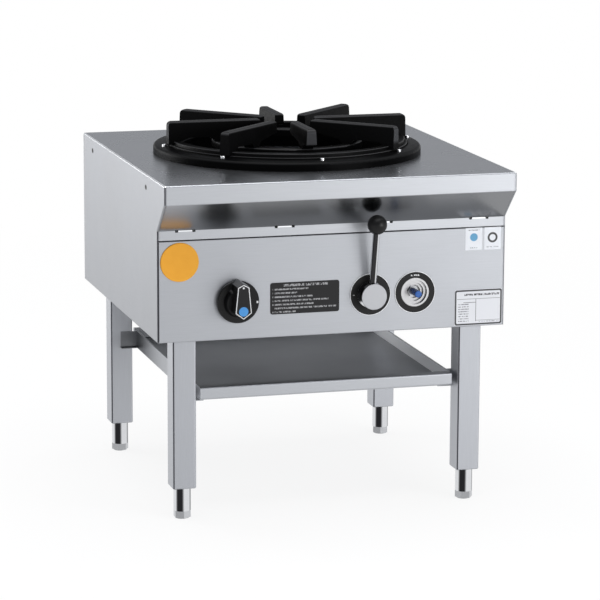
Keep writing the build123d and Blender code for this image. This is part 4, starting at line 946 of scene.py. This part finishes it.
# Each row of marks: its middle, start, end and half height. A short mark stands before each line.
rows = [
    (4.9, 22.0, 58.0, 2.0),
    (4.9, 61.0, 98.5, 2.0),
    (11.4, 7.4, 65.0, 1.3),
    (17.8, 7.4, 45.6, 1.3),
    (24.2, 7.4, 72.8, 1.3),
    (30.6, 7.4, 100.0, 1.3),
    (37.0, 7.4, 74.0, 1.3),
    (43.2, 7.4, 114.0, 1.3),
    (49.4, 7.4, 43.5, 1.3),
]
rows += [(middle, 3.6, 5.2, 1.3) for middle in (11.4, 17.8, 24.2, 30.6, 37.0, 49.4)]
marks_per_metre = 520
instruction_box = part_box("instruction_plate")
instruction, instruction_tree, instruction_shader = start_finish(
    "instruction_print", 0.42, gloss=satin_gloss
)
instruction_place = place_on(instruction_tree)
row_soft = 0.3
row_masks = []
for middle, start, end, half in rows:
    row_masks.append(
        plate_mask(
            instruction_tree,
            instruction_place,
            instruction_box,
            start,
            end,
            middle - half,
            middle + half,
            row_soft,
        )
    )
row_marks = times(
    instruction_tree,
    joined(instruction_tree, row_masks),
    hatch(instruction_tree, instruction_place, marks_per_metre),
)
instruction_tree.links.new(
    mixed_colour(instruction_tree, row_marks, (0.011, 0.011, 0.012), (0.36, 0.36, 0.37)),
    instruction_shader.inputs["Base Color"],
)
finish(instruction, "instruction_plate")

# ------------------------------------------------------------------ rating plate and labels
# The rating plate is thin silver film with a printed frame, rows of plain marks and an empty table.
# The two labels are pale film with short rows of such marks, and have a plain blue spot on one and
# a plain dark ring on the other.
silver, silver_tree, silver_shader = start_finish("rating_print", 0.45)
silver_place = place_on(silver_tree)
rating_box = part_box("rating_plate")
rating_soft = 0.25


def rating_mask(start, end, top, bottom):
    """A mask of a rectangle on the rating plate, in millimetres from its left and top edges."""
    return plate_mask(silver_tree, silver_place, rating_box, start, end, top, bottom, rating_soft)


def outside(tree, mask):
    """The rest of the surface, where a mask is 0."""
    return number(tree, "SUBTRACT", 1.0, mask)


def rounded_mask(inset, corner):
    """A mask of the rating plate's face inside an inset, with round corners, in millimetres."""
    low, high = rating_box
    half = (high - low) / 2
    straight = (inset + corner) / 1000
    shift = vector(silver_tree, "SUBTRACT", silver_place, (low + high) / 2)
    size = vector(silver_tree, "ABSOLUTE", shift)
    over = vector(silver_tree, "SUBTRACT", size, (half.x - straight, 1.0, half.z - straight))
    beyond = vector(silver_tree, "MAXIMUM", over, (0.0, 0.0, 0.0))
    return round_mask(
        silver_tree, beyond, (0.0, 0.0, 0.0), around_y, corner / 1000, rating_soft / 1000
    )


rating_frame = times(
    silver_tree, rounded_mask(0.4, 3.4), outside(silver_tree, rounded_mask(3.1, 2.2))
)
rating_hatch = hatch(silver_tree, silver_place, marks_per_metre)
rating_heading = times(silver_tree, rating_mask(16.7, 79.0, 7.0, 10.4), rating_hatch)
rating_rules = [
    rating_mask(4.0, 80.2, 15.7, 16.3),
    rating_mask(37.2, 38.0, 16.0, 54.6),
    rating_mask(15.5, 37.0, 21.6, 22.4),
    rating_mask(38.0, 80.2, 52.8, 53.3),
]
row_top = 24.0
row_height = 1.8
row_pitch = 4.1
rating_rows = []
for row in range(8):
    top = row_top + row_pitch * row
    rating_rows.append(rating_mask(6.3, 25.0, top, top + row_height))
rating_rows.append(rating_mask(42.0, 79.0, 54.8, 56.0))
rating_small = times(silver_tree, joined(silver_tree, rating_rows), rating_hatch)
silver_tree.links.new(
    mixed_colour(silver_tree, rating_small, (0.70, 0.71, 0.74), (0.22, 0.22, 0.24)),
    silver_shader.inputs["Base Color"],
)
black_ink = (0.030, 0.030, 0.033)
cover(silver, joined(silver_tree, [rating_frame, rating_heading, *rating_rules]), black_ink)
finish(silver, "rating_plate")

label_half_width = 0.0148
label_low, label_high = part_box("pale_labels")
label_left = label_low.x + label_half_width
label_right = label_high.x - label_half_width
label_z = (label_low.z + label_high.z) / 2
film, film_tree, film_shader = start_finish("pale_film", 0.42)
film_place = place_on(film_tree)
film_cloud = cloud(film_tree, film_place, 120, 2.0)
film_tree.links.new(
    mixed_colour(film_tree, film_cloud, (0.76, 0.78, 0.82), (0.84, 0.86, 0.90)),
    film_shader.inputs["Base Color"],
)
spot_centre = (label_left, 0, label_z + 0.0030)
spot_radius = 0.0068
ring_centre = (label_right, 0, label_z + 0.0015)
ring_outer_radius = 0.0088
ring_inner_radius = 0.0054
spot = round_mask(film_tree, film_place, spot_centre, around_y, spot_radius, 0.0005)
ring_disc = round_mask(film_tree, film_place, ring_centre, around_y, ring_outer_radius, 0.0004)
ring_hole = round_mask(film_tree, film_place, ring_centre, around_y, ring_inner_radius, 0.0004)
label_bars = [
    bar_mask(film_tree, film_place, label_left, label_z + 0.0150, 0.0100, 0.0009),
    bar_mask(film_tree, film_place, label_left, label_z - 0.0150, 0.0070, 0.0009),
    bar_mask(film_tree, film_place, label_right, label_z - 0.0145, 0.0105, 0.0008),
]
label_hatch = hatch(film_tree, film_place, marks_per_metre)
spot_blue = (0.10, 0.34, 0.56)
ring_black = (0.020, 0.020, 0.022)
mark_grey = (0.26, 0.27, 0.29)
cover(film, spot, spot_blue)
cover(film, times(film_tree, ring_disc, outside(film_tree, ring_hole)), ring_black)
cover(film, times(film_tree, joined(film_tree, label_bars), label_hatch), mark_grey)
finish(film, "pale_labels")

# ------------------------------------------------------------------ orange sticker
# A plain round sticker of cast resin, domed over orange film. Its rounded edge catches the light,
# and the soffit above mirrors it.
orange_resin = mottled(
    "orange_resin",
    (0.80, 0.36, 0.036),
    (0.86, 0.405, 0.045),
    smooth=0.35,
    rough=0.45,
    scale=90,
    gloss=0.15,
)
finish(orange_resin, "orange_sticker")
